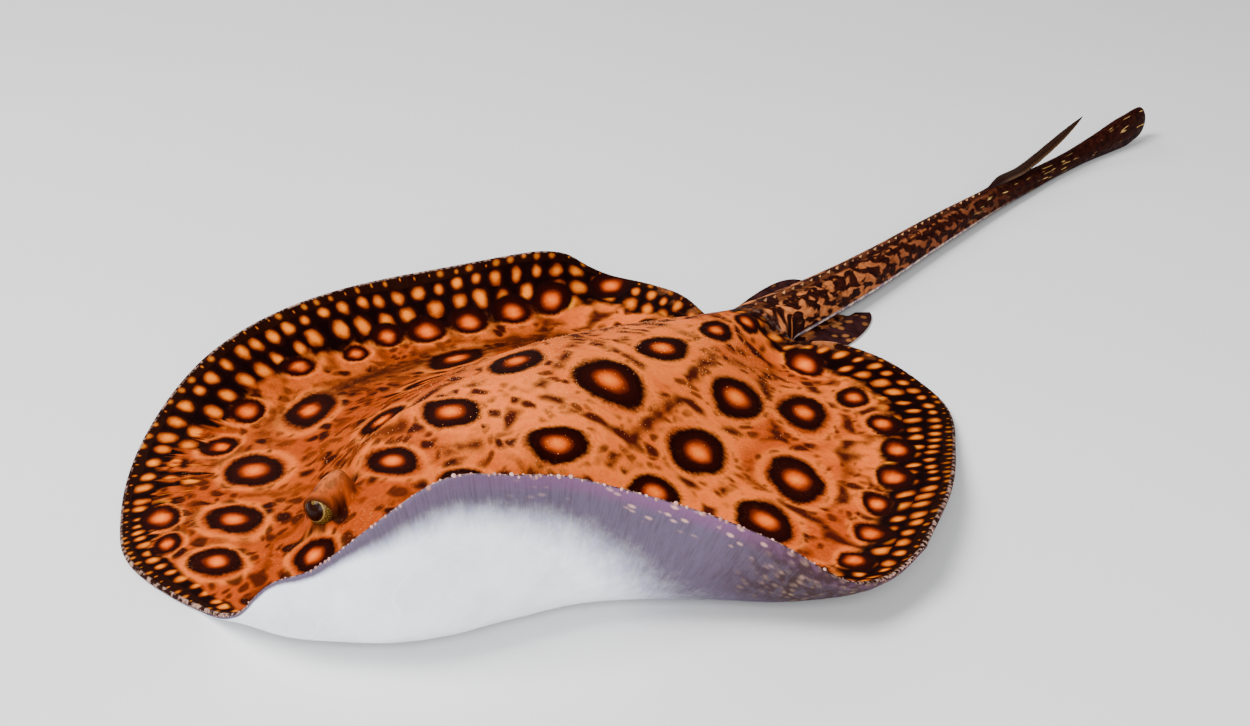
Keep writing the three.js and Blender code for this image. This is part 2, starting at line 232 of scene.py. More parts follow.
eye_low, eye_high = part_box("eye_right")
eye_middle = np.array([(a + b) / 2 for a, b in zip(eye_low, eye_high)]) / MM
flat_eye = np.array(pose_disc(-EYE_AT[:1], EYE_AT[1:2], EYE_AT[2:])).ravel()
ORIGIN = eye_middle - flat_eye
print("the middle of the flat disc stands at", ORIGIN.round(1), "mm in the frame")

# %% [markdown]
# ## The stage
# A model like this is shown on a plain pale floor under big soft lights, so the skin's own colours and gloss are
# what the eye meets. The camera stands in front of the animal's left at about a forearm's height, with a normal
# lens and no depth of field, so that everything from snout to tail tip is sharp.

# %% Helpers for objects and meshes
def stand(name, data, place, turn=(0, 0, 0)):
    """Puts a new object into the scene."""
    obj = bpy.data.objects.new(name, data)
    obj.location, obj.rotation_euler = place, turn
    bpy.context.scene.collection.objects.link(obj)
    return obj


def mesh_of(name, places, faces=(), edges=()):
    mesh = bpy.data.meshes.new(name)
    mesh.from_pydata(np.asarray(places).tolist(), edges, faces)
    return mesh


# %% Floor, light and camera
FLOOR_HALF, FLOOR_GAP = 15.0, 0.0002 # m; the gap keeps floor and skin from flickering
CAMERA_FROM_DISC = np.array([276.5, -358.3, 255.0])
LENS_MM, SENSOR_MM, LOOK_DOWN = 51.84, 36.0, 25.5
LIGHTS = { # watts, size, place, target and tint
    "key": (29, 0.7, (-0.35, -0.75, 1.15), (0, -0.1, 0), (1, 1, 1)),
    "front": (27, 0.9, (0.85, -1.15, 0.75), (0, -0.12, 0.02), (0.96, 0.98, 1)),
    "side": (5, 0.6, (-1.1, 0.55, 0.9), (0, 0, 0), (1, 0.96, 0.92)),
}
WORLD_TINT, WORLD_STRENGTH = (0.88, 0.92, 1, 1), 0.33

corners = [(x * FLOOR_HALF, y * FLOOR_HALF, -FLOOR_GAP) for x, y in ((-1, -1), (1, -1), (1, 1), (-1, 1))]
floor = stand("floor", mesh_of("floor", corners, [(0, 1, 2, 3)]), (0, 0, 0))
camera_at = (ORIGIN + CAMERA_FROM_DISC) * MM
lens = bpy.data.cameras.new("camera")
lens.lens, lens.sensor_width = LENS_MM, SENSOR_MM
lens.clip_start, lens.clip_end = 0.01, 50.0
camera = stand("camera", lens, camera_at, (math.radians(90 - LOOK_DOWN), 0, PANE_YAW))
bpy.context.scene.camera = camera
for name, (watts, size, at, target, tint) in LIGHTS.items():
    lamp = bpy.data.lights.new(name, "AREA")
    lamp.energy, lamp.size, lamp.color = watts, size, tint
    stand(name, lamp, at, (Vector(target) - Vector(at)).to_track_quat("-Z", "Y").to_euler())
world = bpy.data.worlds.new("studio")
world.use_nodes = True
background = world.node_tree.nodes["Background"].inputs
background["Color"].default_value, background["Strength"].default_value = WORLD_TINT, WORLD_STRENGTH
bpy.context.scene.world = world
print("camera stands at", camera_at.round(3))

# %% [markdown]
# ## The skin's net
# The skin is one closed surface. It could be cut from a voxel remesh of the solids, but that forgets where every
# place of the skin was when it lay flat, and the markings need that. So it is woven: rays run from the midline
# out to the margin like the fin rays of the real animal, once for the upper sheet and once for the lower, and the
# two sheets share the points of the margin. Past the disc the rays go on across the tail.

# %% Rays from the midline to the margin
DISC_RAYS, TAIL_STEP = 280, 1.6
UPPER_ROWS, LOWER_ROWS, THIN = 75, 36, 3 # the tail keeps every third row
EDGE_ROWS = (0.9, 0.42, 0.13, 0.0) # the last rows stand close together to round the edge
TAIL_LEAD = 8.7 # how far the first tail rays lean back


def disc_ray(k):
    """Where a ray of the disc starts on the midline and where it ends on the margin."""
    share = k / DISC_RAYS
    turn = math.radians(FAN_END * share)
    radius = disc_radius(FAN_END * share)
    root = HEAD_FRONT + (TRUNK_BACK - HEAD_FRONT) * share**1.25
    return root, radius * math.sin(turn), -radius * math.cos(turn)


def tail_ray(y):
    edge = y + TAIL_LEAD * (1 - ramp(y, 104, 124))
    return y, float(tail_half_width(edge)), float(edge)


tail_stations = np.arange(TRUNK_BACK + 1.0, TAIL_TIP - 5.5, TAIL_STEP)
tip_stations = [TAIL_TIP - back for back in (5.2, 3.9, 2.7, 1.7, 0.9, 0.3, 0.0)]
rays = [disc_ray(k) for k in range(DISC_RAYS + 1)] + [tail_ray(y) for y in [*tail_stations, *tip_stations]]
rays = np.array([[float(v) for v in ray] for ray in rays]) # root y, edge x, edge y
FIRST_THIN = DISC_RAYS + 16 # from here on the tail keeps only every third row
print(len(rays), "rays on each side,", DISC_RAYS + 1, "of them in the disc")


def row_shares(rows, length, tailness, fine):
    """Where the rows of one ray lie, 0 at the midline and 1 at the edge."""
    inner = np.linspace(0, 1, rows + 1 - len(EDGE_ROWS))
    inner = fine * inner + (1 - fine) * inner**2
    inner = inner * (1 - 1.7 / length)
    disc = np.concatenate([inner, 1 - np.array(EDGE_ROWS) / length])
    tail = np.sin(np.linspace(0, math.pi / 2, rows + 1))
    return disc + (tail - disc) * tailness


# %% Heights of both sheets along a ray
def tip_scale(y):
    """The tail's last few millimetres draw in to a round end."""
    return np.sqrt(np.clip(1 - (np.maximum(y - (TAIL_TIP - 7), 0) / 7) ** 2, 0, 1))


def sheet_height(x, y, share, gap, tailness, upper):
    """Height of the upper or lower sheet; gap is the distance in from the margin."""
    round_off = np.sqrt(np.clip(1 - (1 - np.minimum(gap / 0.75, 1)) ** 2, 0, 1))
    half = MARGIN_THICKNESS / 2
    disc = half + (back_height(x, y) - half if upper else -half) * round_off
    tall = tail_height(y) * tip_scale(y)
    swell = np.sqrt(np.clip(1 - share**2, 0, 1))
    lift = tail_height(y) * (1 - tip_scale(y)) / 2 + tail_tip_lift(y)
    tail = tall / 2 * (1 + swell) if upper else np.maximum(0, tall / 2 * (1 - swell / 0.966))
    return disc + (tail + lift - disc) * tailness


# %% Weave both sheets
class Net:
    """Points and faces of the skin, with what each point knows about its flat place."""

    def __init__(self):
        self.points, self.faces, self.sheets = [], [], []

    def add(self, **what):
        size = len(next(iter(what.values())))
        first = sum(len(p["x"]) for p in self.points)
        self.points.append({key: np.broadcast_to(value, size).astype(float) for key, value in what.items()})
        return np.arange(first, first + size)

    def band(self, a, b, sheet, flip):
        """Faces between two neighbouring rays, the second perhaps with fewer rows."""
        step = (len(a) - 1) // (len(b) - 1)
        for i in range(len(b) - 1):
            ring = [*a[i * step : i * step + step + 1], b[i + 1], b[i]]
            ring = [int(v) for n, v in enumerate(ring) if v != ring[n - 1]]
            if len(set(ring)) > 2:
                self.faces.append(ring[::-1] if flip else ring)
                self.sheets.append(sheet)

    def field(self, key):
        return np.concatenate([p[key] for p in self.points])


UPPER, LOWER, TAIL = 0, 1, 2
net = Net()


def weave_ray(k, side, upper, shared):
    """Adds the points of one ray of one sheet; shared gives points that are there already."""
    root, edge_x, edge_y = rays[k]
    tailness = float(ramp(root, 104, 122)) if k > DISC_RAYS else 0.0
    rows = UPPER_ROWS if upper else LOWER_ROWS
    length = math.hypot(edge_x, edge_y - root)
    share = row_shares(rows, max(length, 2.5), tailness, 0.62 if upper else 0.8)
    if k >= FIRST_THIN:
        share = share[::THIN]
    x, y = share * edge_x, root + share * (edge_y - root)
    if k > DISC_RAYS:
        x = x * tip_scale(y)
    gap = (1 - share) * length
    if k <= DISC_RAYS:
        gap = np.maximum(disc_radius(angle_at(x, y)) - np.hypot(x, y), 0)
    z = sheet_height(x, y, share, gap, tailness, upper)
    turn = np.arcsin(np.clip(share, 0, 1))
    turn = turn if upper else math.pi - turn
    ids = np.zeros(len(share), int)
    new = [j for j in range(len(share)) if j not in shared]
    for j, point in shared.items():
        ids[j] = point
    if new:
        ids[new] = net.add(x=side * x[new], y=y[new], z=z[new], turn=side * turn[new], gap=gap[new], tail=tailness,
                           belly=0.0 if upper else 1.0, pelvic=0.0)
    return ids


last = {}
middle = {UPPER: {}, LOWER: {}}
for side in (1, -1):
    for k in range(len(rays)):
        tip = k == len(rays) - 1
        if side == -1 and (k == 0 or tip):
            upper, lower = last[1, k]
        else:
            shared = {0: middle[UPPER][k]} if k in middle[UPPER] else {}
            upper = weave_ray(k, side, True, shared)
            middle[UPPER][k] = upper[0]
            end = LOWER_ROWS // THIN if k >= FIRST_THIN else LOWER_ROWS
            shared = {end: upper[-1]} | ({0: middle[LOWER][k]} if k in middle[LOWER] else {})
            lower = weave_ray(k, side, False, shared)
            middle[LOWER][k] = lower[0]
            if tip:
                upper[:], lower[:] = upper[0], upper[0]
        last[side, k] = upper, lower
        if k:
            sheet = [UPPER, LOWER] if k <= DISC_RAYS else [TAIL, TAIL]
            net.band(last[side, k - 1][0], upper, sheet[0], side < 0)
            net.band(last[side, k - 1][1], lower, sheet[1], side > 0)
print("woven:", len(net.field("x")), "points and", len(net.faces), "faces")

# %% [markdown]
# ## Pelvic fins
# Behind the disc, each side of the tail's root, a small rounded fin lies half hidden. Each could be a separate
# object, but on the animal the same skin runs over it, so it is woven into the same net as a flat lobe that grows
# out of the tail's side. The right one is lifted a little at its hind corner.

# %% Weave the pelvic fins
PELVIC = {"front": 109.0, "back": 154.0, "reach": 12.0, "sweep": 9.0, "root": 3.2, "edge": 1.1, "lift": 1.3}
PELVIC_ROWS, PELVIC_CELLS = 36, 14


def pelvic_row(side, t):
    """Upper and lower points across one pelvic fin at a share t of its length."""
    y = PELVIC["front"] + (PELVIC["back"] - PELVIC["front"]) * t
    width = PELVIC["reach"] * max(math.sin(math.pi * (0.1 + 0.9 * t)), 0) ** 0.45
    inside = min(4.0, 1.5 + 3 * width / PELVIC["reach"])
    s = np.sin(np.linspace(0, math.pi / 2, PELVIC_CELLS + 1))
    x = tail_half_width(y) - inside + (width + inside + 0.05) * s
    out = np.clip((x - tail_half_width(y)) / max(width, 0.1), 0, 1)
    thick = PELVIC["edge"] + (PELVIC["root"] - PELVIC["edge"]) * (1 - out) * (1 - 0.5 * t)
    thick = thick * np.sqrt(np.clip(1 - s**6, 0, 1)) * min(1, 0.25 + 8 * (1 - t)) + 0.02
    lift = PELVIC["lift"] * width * out * t**2 if side < 0 else 0 * out
    ripple = 0.12 * np.cos(x * 2.4) * np.sin(math.pi * out)
    middle = 0.55 + lift
    upper = np.maximum(middle, lift + thick + ripple)
    lower = np.minimum(middle, lift + 0.55 - 0.55 * np.sqrt(np.clip(1 - s**6, 0, 1)))
    known = {"x": side * x, "y": y + PELVIC["sweep"] * t * out, "turn": side * 1.2, "gap": 50.0, "tail": 1.0,
             "pelvic": ramp(x, tail_half_width(y) - 0.5, tail_half_width(y) + 2.5)}
    top = net.add(z=upper, belly=0.0, **known)
    bottom = net.add(z=lower, belly=1.0, **known)
    bottom[-1] = top[-1]
    return top, bottom


for side in (1, -1):
    rows = [pelvic_row(side, t) for t in np.linspace(0, 1, PELVIC_ROWS + 1)]
    for (top, bottom), (top_next, bottom_next) in zip(rows, rows[1:]):
        net.band(top, top_next, TAIL, side < 0)
        net.band(bottom, bottom_next, TAIL, side > 0)
        net.band([bottom[0], top[0]], [bottom_next[0], top_next[0]], TAIL, side < 0)
    for (top, bottom), flip in ((rows[0], side < 0), (rows[-1], side > 0)):
        cap = [*map(int, bottom), *map(int, top[-2::-1])]
        net.faces.append(cap[::-1] if flip else cap)
        net.sheets.append(TAIL)
print("with the pelvic fins:", len(net.faces), "faces")

# %% [markdown]
# ## More points where the detail is
# Eyelids, spiracles, the mouth and the gill slits need a closer net than the rest. Making the whole net fine would
# cost too many faces, so bmesh cuts only the faces round the eyes, mouth and gills. It also carries along what each
# point knows about its flat place.

# %% Cut the net finer round the eyes, mouth and gills
KNOWN = ("turn", "gap", "tail", "belly", "pelvic")
CUTS = (((21.5, -65.5), 11.5), ((20.5, -67.5), 7.2), ((17.6, -72.2), 5.2)) # middle and reach of each finer round


def by_mouth_or_gills(x, y):
    return (abs(x) < 14 and -77 < y < -58) or (17 < abs(x) < 32 and -51 < y < -14)


def runs_across(edge):
    """True for an edge that runs more across the body than along it."""
    a, b = (vert.co for vert in edge.verts)
    return abs(a.x - b.x) > abs(a.y - b.y)


def finer_net(net):
    """Cuts the chosen faces; returns places, facts, faces, their sheets and the count of open edges."""
    mesh = mesh_of("flat_skin", np.stack([net.field("x"), net.field("y"), net.field("z")], 1), net.faces)
    work = bmesh.new()
    work.from_mesh(mesh)
    layers = {key: work.verts.layers.float.new(key) for key in KNOWN}
    sheet = work.faces.layers.int.new("sheet")
    values = {key: net.field(key) for key in KNOWN}
    for vert in work.verts:
        for key in KNOWN:
            vert[layers[key]] = values[key][vert.index]
    for face, kind in zip(work.faces, net.sheets):
        face[sheet] = kind
    bmesh.ops.delete(work, geom=[v for v in work.verts if not v.link_faces], context="VERTS")
    for (at_x, at_y), reach in CUTS:
        chosen = set()
        for face in work.faces:
            x, y, _ = face.calc_center_median()
            if face[sheet] == UPPER and math.hypot(abs(x) - at_x, y - at_y) < reach:
                chosen.update(face.edges)
        bmesh.ops.subdivide_edges(work, edges=sorted(chosen, key=lambda e: e.index), cuts=1, use_grid_fill=True)
        work.edges.index_update()
    across = set()
    for face in work.faces:
        if face[sheet] == LOWER and by_mouth_or_gills(*face.calc_center_median()[:2]):
            across.update(edge for edge in face.edges if runs_across(edge))
    bmesh.ops.subdivide_edges(work, edges=sorted(across, key=lambda e: e.index), cuts=1)
    work.verts.index_update()
    place = np.array([v.co[:] for v in work.verts])
    known = {key: np.array([v[layers[key]] for v in work.verts]) for key in KNOWN}
    faces = [[v.index for v in f.verts] for f in work.faces]
    sheets = np.array([f[sheet] for f in work.faces])
    open_edges = sum(len(e.link_faces) != 2 for e in work.edges)
    work.free()
    bpy.data.meshes.remove(mesh)
    return place, known, faces, sheets, open_edges


place, known, faces, sheets, open_edges = finer_net(net)
flat_x, flat_y, flat_z = place.T
triangles = sum(len(face) - 2 for face in faces)
print(len(flat_x), "points,", len(faces), "faces,", triangles, "triangles,", open_edges, "open edges")

# %% [markdown]
# ## Small forms of the skin
# The fin rays show through the thin fins as soft ripples, creases run along the shoulder ridge and along the foot of
# the raised rim, and underneath are the mouth, the nostrils, five pairs of gill slits and the vent. All are small
# changes of height on the flat animal, so they bend with the skin when it is posed.

# %% Ripples, creases, mouth and gills
FIN_RAY_HEIGHT, FIN_RAYS_ROUND = 0.16, 138 # mm and waves in a radian
CREASE_HEIGHT, FOOT_HEIGHT, GIRDLE_DIP, SPINE_RISE, BROW_HEIGHT = 0.45, 0.3, 0.9, 0.5, 0.35
GILLS = ( # place, half length and tilt of the left row
    ((27.0, -47.0), 4.4, 12), ((26.6, -39.5), 4.4, 6), ((25.4, -32.0), 4.2, 0), ((23.6, -24.8), 3.9, -7),
    ((21.2, -18.2), 3.4, -14))


def upper_detail(x, y):
    """Small heights on the upper side, and how dark the painted shade in their crease valleys is."""
    side, angle, radius = np.abs(x), angle_at(x, y), np.hypot(x, y)
    reach = radius / disc_radius(angle)
    fin_rays = FIN_RAY_HEIGHT * np.sin(np.radians(angle) * FIN_RAYS_ROUND)
    fin_rays = fin_rays * ramp(reach, 0.5, 0.78) * (1 - ramp(reach, 0.93, 0.99))
    outside = side - ridge_gauge(y)
    creases = CREASE_HEIGHT * np.cos(outside * 2.1 + 1.2 * np.sin(y * 0.21)) * ridge_height(y) / 2.6
    creases = creases * ramp(outside, 1, 4) * (1 - ramp(outside, 10, 15))
    gap = disc_radius(angle) - radius
    foot = FOOT_HEIGHT * np.cos(gap * 1.55 + 0.8 * np.sin(angle * 0.11)) * bell(gap, rim_band(angle) + 3, 9)
    foot = foot * ramp(rim_slope(angle), 12, 45) * (x < 0)
    girdle = -GIRDLE_DIP * bell(y, -44, 7) * bell(side, 0, 13)
    girdle = girdle + SPINE_RISE * bell(side, 0, 3.4) * ramp(y, -30, -5) * (1 - ramp(y, 92, 104))
    brow = BROW_HEIGHT * bell(np.hypot(side - 12, y + 74), 6, 2.2)
    # painted shade in the valleys of the ridge creases and of the rim's foot
    dark = ramp(-creases, 0.12, 0.4) + ramp(-foot, 0.1, 0.28)
    return fin_rays + creases + foot + girdle + brow, dark


def turned_oval(x, y, centre, half_length, half_width, tilt):
    """A place as seen from a tilted oval: how many half lengths along and half widths across."""
    turn = math.radians(tilt)
    dx, dy = x - centre[0], y - centre[1]
    along = (dx * math.cos(turn) + dy * math.sin(turn)) / half_length
    return along, (dy * math.cos(turn) - dx * math.sin(turn)) / half_width


def slit(*place_and_oval):
    """1 along the middle of a short slit, fading to 0 round it."""
    along, over = turned_oval(*place_and_oval)
    return np.exp(-(np.abs(along) ** 4) - over**2)


def lower_detail(x, y):
    """Depth of the mouth, the fold behind it, the nostrils, the gill slits and the vent."""
    side = np.abs(x)
    mouth = 2.6 * slit(side, y + 0.012 * side**2, (0, -63.5), 11.5, 1.25, 0)
    lip_fold = 0.7 * slit(side, y + 0.02 * side**2, (0, -67.5), 9.5, 0.9, 0)
    nostril = 2.2 * slit(side, y, (7.8, -72.5), 2.6, 1.5, 62)
    gills = sum(1.7 * slit(side, y, at, half, 0.75, tilt) for at, half, tilt in GILLS)
    vent = 1.8 * slit(side, y, (0, 101.0), 1.2, 4.6, 0)
    return mouth + lip_fold + nostril + gills + vent


on_disc = (known["tail"] < 0.02) & (known["gap"] > 1.0)
upper = on_disc & (known["belly"] < 0.5)
lower = on_disc & (known["belly"] > 0.5)
small_form, crease = upper_detail(flat_x, flat_y)
flat_z = np.where(upper, back_height(flat_x, flat_y) + small_form, flat_z)
depth = lower_detail(flat_x, flat_y)
# how deep the mouth, gills and spiracle pits lie, for the painted shade in them
hollow = np.where(lower, np.clip(depth / 1.6, 0, 1), 0.0)
flat_z = np.where(lower, flat_z + depth, flat_z)
pit_x, pit_y = (np.abs(flat_x) - SPIRACLE_AT[0]) / SPIRACLE_SIZE[0], (flat_y - SPIRACLE_AT[1]) / SPIRACLE_SIZE[1]
hollow = np.where(upper, 1 - ramp(np.hypot(pit_x, pit_y), 0.35, 1.0), hollow)
# a keel low on each side of the tail, and the sheath of skin round the root of the sting
keel = 1.1 * bell(np.degrees(np.abs(known["turn"])), 114, 12) * ramp(flat_y, 112, 130) * (1 - ramp(flat_y, 300, 350))
keel = keel * known["tail"] * (known["pelvic"] == 0)
flat_x = flat_x + np.sign(flat_x) * keel * (known["belly"] + (known["belly"] < 0.5) * 0.6)
sheath = 1.5 * bell(flat_y, 284, 9) * bell(known["turn"], 0, 0.5) * (known["tail"] > 0.9)
skin_place = posed(flat_x, flat_y, flat_z + sheath, known["tail"])
print("the skin stands between", skin_place.min(0).round(4), "and", skin_place.max(0).round(4))

# %% [markdown]
# ## Eyelids
# A ray's eye stands in the front of a skin mound and looks forward and out. The skin lies over the back of the ball
# like a cap and leaves it bare in front. A separate ring for the lid would show a seam, so the skin's own points
# are moved: inside the bare cone they sink behind the ball, outside it they rise just over it, and the lid's rim
# stands a little proud.

# %% Open the lids round each eyeball
LID_THICKNESS, LID_RIM, SOCKET_SINK = 0.34, 0.34, 0.8
BARE_DEPTH, SOCKET_REACH = EYE_RADIUS - SOCKET_SINK, EYE_RADIUS + 0.9 # how deep the bare skin sinks, and from where
BARE_HALF_ANGLE = 64.0 # degrees from the middle of the bare part to the lid's rim
BARE_MIDDLE = np.array([-0.22, -0.93, -0.28]) # for the left eye; the right one mirrors it
eye_centres, lid = {}, np.zeros(len(flat_x))
for side, sign in (("left", 1), ("right", -1)):
    low, high = (np.array(corner[:]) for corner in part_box("eye_" + side))
    eye_centres[side] = centre = (low + high) / 2
    offset = (skin_place - centre) / MM
    distance = np.linalg.norm(offset, axis=1)
    middle_way = BARE_MIDDLE * (sign, 1, 1) / np.linalg.norm(BARE_MIDDLE)
    from_middle = np.degrees(np.arccos(np.clip(offset @ middle_way / distance, -1, 1)))
    near = upper & (distance < 2.2 * EYE_RADIUS)
    covered = ramp(from_middle, BARE_HALF_ANGLE - 9, BARE_HALF_ANGLE + 5)
    rim_height = LID_RIM * bell(from_middle, BARE_HALF_ANGLE + 9, 9)
    least = EYE_RADIUS + LID_THICKNESS + rim_height
    over = np.maximum(distance, least) + rim_height * bell(distance, least, 0.8)
    beyond = distance - SOCKET_SINK * bell(distance, SOCKET_REACH, 0.7)
    under = np.where(distance < SOCKET_REACH, BARE_DEPTH, beyond)
    new_distance = np.where(near, under + (over - under) * covered, distance)
    skin_place = centre + offset / distance[:, None] * new_distance[:, None] * MM
    # the lid's rim, which the skin's colour darkens as painted shade
    rim = bell(from_middle, BARE_HALF_ANGLE + 3, 11) * ramp(distance, EYE_RADIUS + 1.8, EYE_RADIUS + 0.6)
    lid = np.maximum(lid, np.where(near, rim, 0))
print("eyeballs at", {k: v.round(4).tolist() for k, v in eye_centres.items()})

# %% [markdown]
# ## Where the markings go
# The back carries large rings, pale orange inside a near-black band. They are real places on this animal, so they
# are listed as places on the flat body: along, across, half length, half width and tilt. Painting them on an
# image would fix their sharpness, so each point of the skin only learns how far out it lies in its nearest ring,
# 0 in the middle and 1 at the rim, and the material turns that number into colour.

# %% The rings of the back
RINGS = [ # in mm and degrees
    # the large rings of the back and of the left wing
    (16, 13, 12.5, 10, -45), (45, 15, 12, 8, -75), (33, 52, 12.5, 7, -73), (46, 69, 13.5, 7.5, -52),
    (67, 31, 12.5, 8, -50), (74, 4, 11.5, 8, -43), (24, -23, 10, 6.5, 65), (-8, -29, 9.5, 6.5, 0),
    (-32, -31, 9, 6.5, -40), (-11, -51, 10, 5, -4), (14, -50, 8.5, 5.5, 10), (49, -13, 9, 6.5, 80),
    (11, 46, 11, 7, -78), (8, 78, 9, 4.8, -74), (6, 98, 6, 4, -70),
    # the right wing
    (-11, 5, 11.5, 7.5, -72), (-62, 37, 12, 8, -74), (-75, -16, 13, 8, -54), (-65, -51, 10.5, 8, -5),
    (-50, -76, 9.5, 8, -10), (-38, -95, 7.5, 6.5, 30), (-12, -82, 8, 5, -14), (-93, -29, 6.5, 4.8, 85),
    (-85, -46, 6.5, 4.5, 80), (-85, 46, 6.5, 5, 53), (-78, 60, 6.5, 5, 56), (-71, 75, 7, 5.2, 61),
    (-92, 34, 5.5, 4.2, 65), (-65, 89, 6.5, 5.2, 86), (-56, 110, 7.5, 5.5, 87), (-71, -83, 8.5, 5, -39),
    (-57, -95, 6, 4.2, -55), (-93, 20, 5, 3.6, 68), (-99, -1, 7, 3.4, 76),
    # toward the left rear margin
    (27, 103, 7.5, 5.2, -28), (50, 91, 8.5, 5.2, -64), (66, 81, 7, 5, -53), (79, 68, 7.5, 4.6, -47),
    (88, 52, 8, 4.6, -37), (91, 37, 7.5, 5, -26), (98, 22, 8, 4.6, -22), (102, 6, 6.5, 4.6, -40),
    # the folded side and the far right rear
    (58, -52, 11, 8, 40), (83, -30, 11, 8, 20), (37, -77, 9, 7, 50), (70, -78, 8, 6, 45), (96, -10, 7.5, 5.5, 80),
    (19, -98, 7, 5, 60), (-35, 62, 11, 7.5, -60), (-30, 95, 8, 5.5, -80), (-45, 5, 10, 7, -60), (48, -96, 7, 5, 30),
]
NO_RING = 9.0 # far outside every ring


def ring_place(x, y):
    """0 in the middle of the nearest ring and 1 at its rim, and how evenly a place lies between two rings, in mm."""
    best, nearest, second = np.full(len(x), NO_RING), np.full(len(x), 99.0), np.full(len(x), 99.0)
    for at_x, at_y, long, short, tilt in RINGS:
        along, over = turned_oval(x, y, (at_x, at_y), long, short, tilt)
        level = np.maximum((np.abs(along) ** 1.75 + np.abs(over) ** 1.9) ** (1 / 1.82), 0.01) # a little pointed
        away = np.hypot(x - at_x, y - at_y) * (1 - 1 / level)
        best = np.minimum(best, level)
        second = np.minimum(second, np.maximum(nearest, away))
        nearest = np.minimum(nearest, away)
    return best, second - nearest


# widths of the dark net and of the violet border over the angle from the snout
net_band = through(
    (-180, 9), (-166, 13), (-150, 21), (-120, 23), (-95, 21), (-75, 18), (-50, 14), (-30, 9), (-12, 6), (0, 5), (25, 7),
    (60, 13), (90, 18), (120, 20), (150, 21), (165, 15), (180, 9))
pale_band = through(
    (-180, 12), (-90, 12), (-20, 1), (0, 0.7), (12, 2.2), (20, 6), (30, 10.5), (38, 15.5), (44, 21), (50, 29), (60, 44),
    (85, 50), (120, 46), (180, 20))
ROW_ENDS = (0.0, 3.3, 8.8, 15.6, 23.6, 34.0) # rows of spots, in from the margin
turns = np.linspace(-180, 180, 1441)
steps_along = np.hypot(np.diff(disc_radius(turns)), np.radians(np.diff(turns)) * disc_radius(turns[1:]))
spot_size = through((-180, 1.1), (-150, 1.35), (-70, 1.3), (-45, 0.95), (10, 0.85), (60, 1.0), (150, 1.0), (180, 1.1))
margin_run = np.concatenate([[0], np.cumsum(steps_along / spot_size(turns[1:]))])
angle = angle_at(flat_x, flat_y)
margin_gap = np.maximum(disc_radius(angle) - np.hypot(flat_x, flat_y), 0)
on_tail = ramp(flat_y - 0.35 * np.abs(flat_x), 98, 112)
in_ring, between_rings = ring_place(flat_x, flat_y)
# the eye mound has a dark crescent on its outer front side
mound_x, mound_y = np.abs(flat_x) - EYE_MOUND_AT[0], flat_y - EYE_MOUND_AT[1]
from_mound = np.hypot(mound_x, mound_y)
mound_way = (mound_x * 0.90 + mound_y * -0.43) / np.maximum(from_mound, 0.1)
facts = {
    "ring": np.where(known["belly"] > 0.5, NO_RING, in_ring),
    "between": between_rings,
    "row": np.interp(margin_gap / (0.55 + 0.45 * spot_size(angle)), ROW_ENDS, range(len(ROW_ENDS))),
    "run": np.interp(angle, turns, margin_run - margin_run.mean()),
    "gap": margin_gap,
    "net": margin_gap / net_band(angle),
    "pale": margin_gap / pale_band(angle),
    "belly": known["belly"],
    "tail": on_tail,
    "pelvic": known["pelvic"],
    "hollow": hollow,
    "lid": lid,
    "along": flat_y / 100,
    # where a painted highlight lies along the top of the back
    "crest": bell(flat_x, 4, 26) * ramp(flat_y, -65, 0) * (1 - ramp(flat_y, 60, 105)),
    "turn": known["turn"],
    "angle": angle,
    "crease": crease,
    "brow": bell(np.hypot(mound_x - 0.4, mound_y - 1.0), 0, 5.0),
    "brow_shade": bell(from_mound, 4.3, 1.7) * ramp(mound_way, 0.45, 0.9),
    # browner toward the snout, and painted shade over the far right side of the back
    "front": np.maximum(1 - ramp(flat_y, -68, -15), 0.8 * ramp(-flat_x, 10, 42) * (1 - ramp(flat_y, 40, 95))),
    # painted shade in the trough at the foot of the raised rim
    "trough": bell(margin_gap, rim_band(angle) + 2, 7) * ramp(rim_slope(angle), 15, 45) * (flat_x < 0),
    "marbled": ramp(angle, 56, 70) * (1 - ramp(angle, 150, 170)) * (1 - ramp(margin_gap, 14, 26)),
}
print(len(RINGS), "rings; the margin is", round(float(steps_along.sum())), "mm long")

# %% [markdown]
# ## Two maps of the skin
# A map, or UV, says for each corner of a face where it lies on a flat sheet. The map named Hide keeps the flat
# body's own millimetres, for the grain and blotches. The map named OFBake lays the upper side, the under side
# and the tail beside each other without overlap, for anyone who wants to store the finished colours.

# %% Build the skin with its facts and maps
HIDE_UNIT, LOWER_SHIFT = 100, 5 # mm to one unit of the Hide map; the under side lies 5 units beside the upper


def hide_map(sheet):
    girth = (tail_half_width(flat_y) + tail_height(flat_y) / 2) / 2 * 1.6
    wrap = known["turn"] * girth
    u = flat_x + (wrap - flat_x) * ramp(known["tail"], 0, 1) * (1 - known["pelvic"])
    return np.stack([u / HIDE_UNIT + (LOWER_SHIFT if sheet == LOWER else 0), flat_y / HIDE_UNIT], 1)


def bake_map(sheet):
    """The disc's upper side lies above, its under side below, and the tail beside them."""
    if sheet == TAIL:
        return np.stack([0.70 + known["turn"] / math.pi * 0.07, 0.22 + (flat_y - 100) * 0.00242], 1)
    left, low, scale = (0.302, 0.70, 0.00245) if sheet == UPPER else (0.205, 0.20, 0.00160)
    return np.stack([left + flat_x * scale, low + flat_y * scale], 1)


def fin_bake_map(side):
    """The pelvic fins lie beside the tail, upper sheet over lower."""
    u = 0.80 + np.abs(flat_x) * 0.004 + (0.1 if side > 0 else 0)
    return np.stack([u, 0.5 + (flat_y - 100) * 0.003 - 0.25 * (known["belly"] > 0.5)], 1)


def teach(mesh, **facts):
    """Gives each point of a mesh one number under each name, for the materials to read."""
    for key, value in facts.items():
        mesh.attributes.new(key, "FLOAT", "POINT").data.foreach_set("value", value.astype(np.float32))


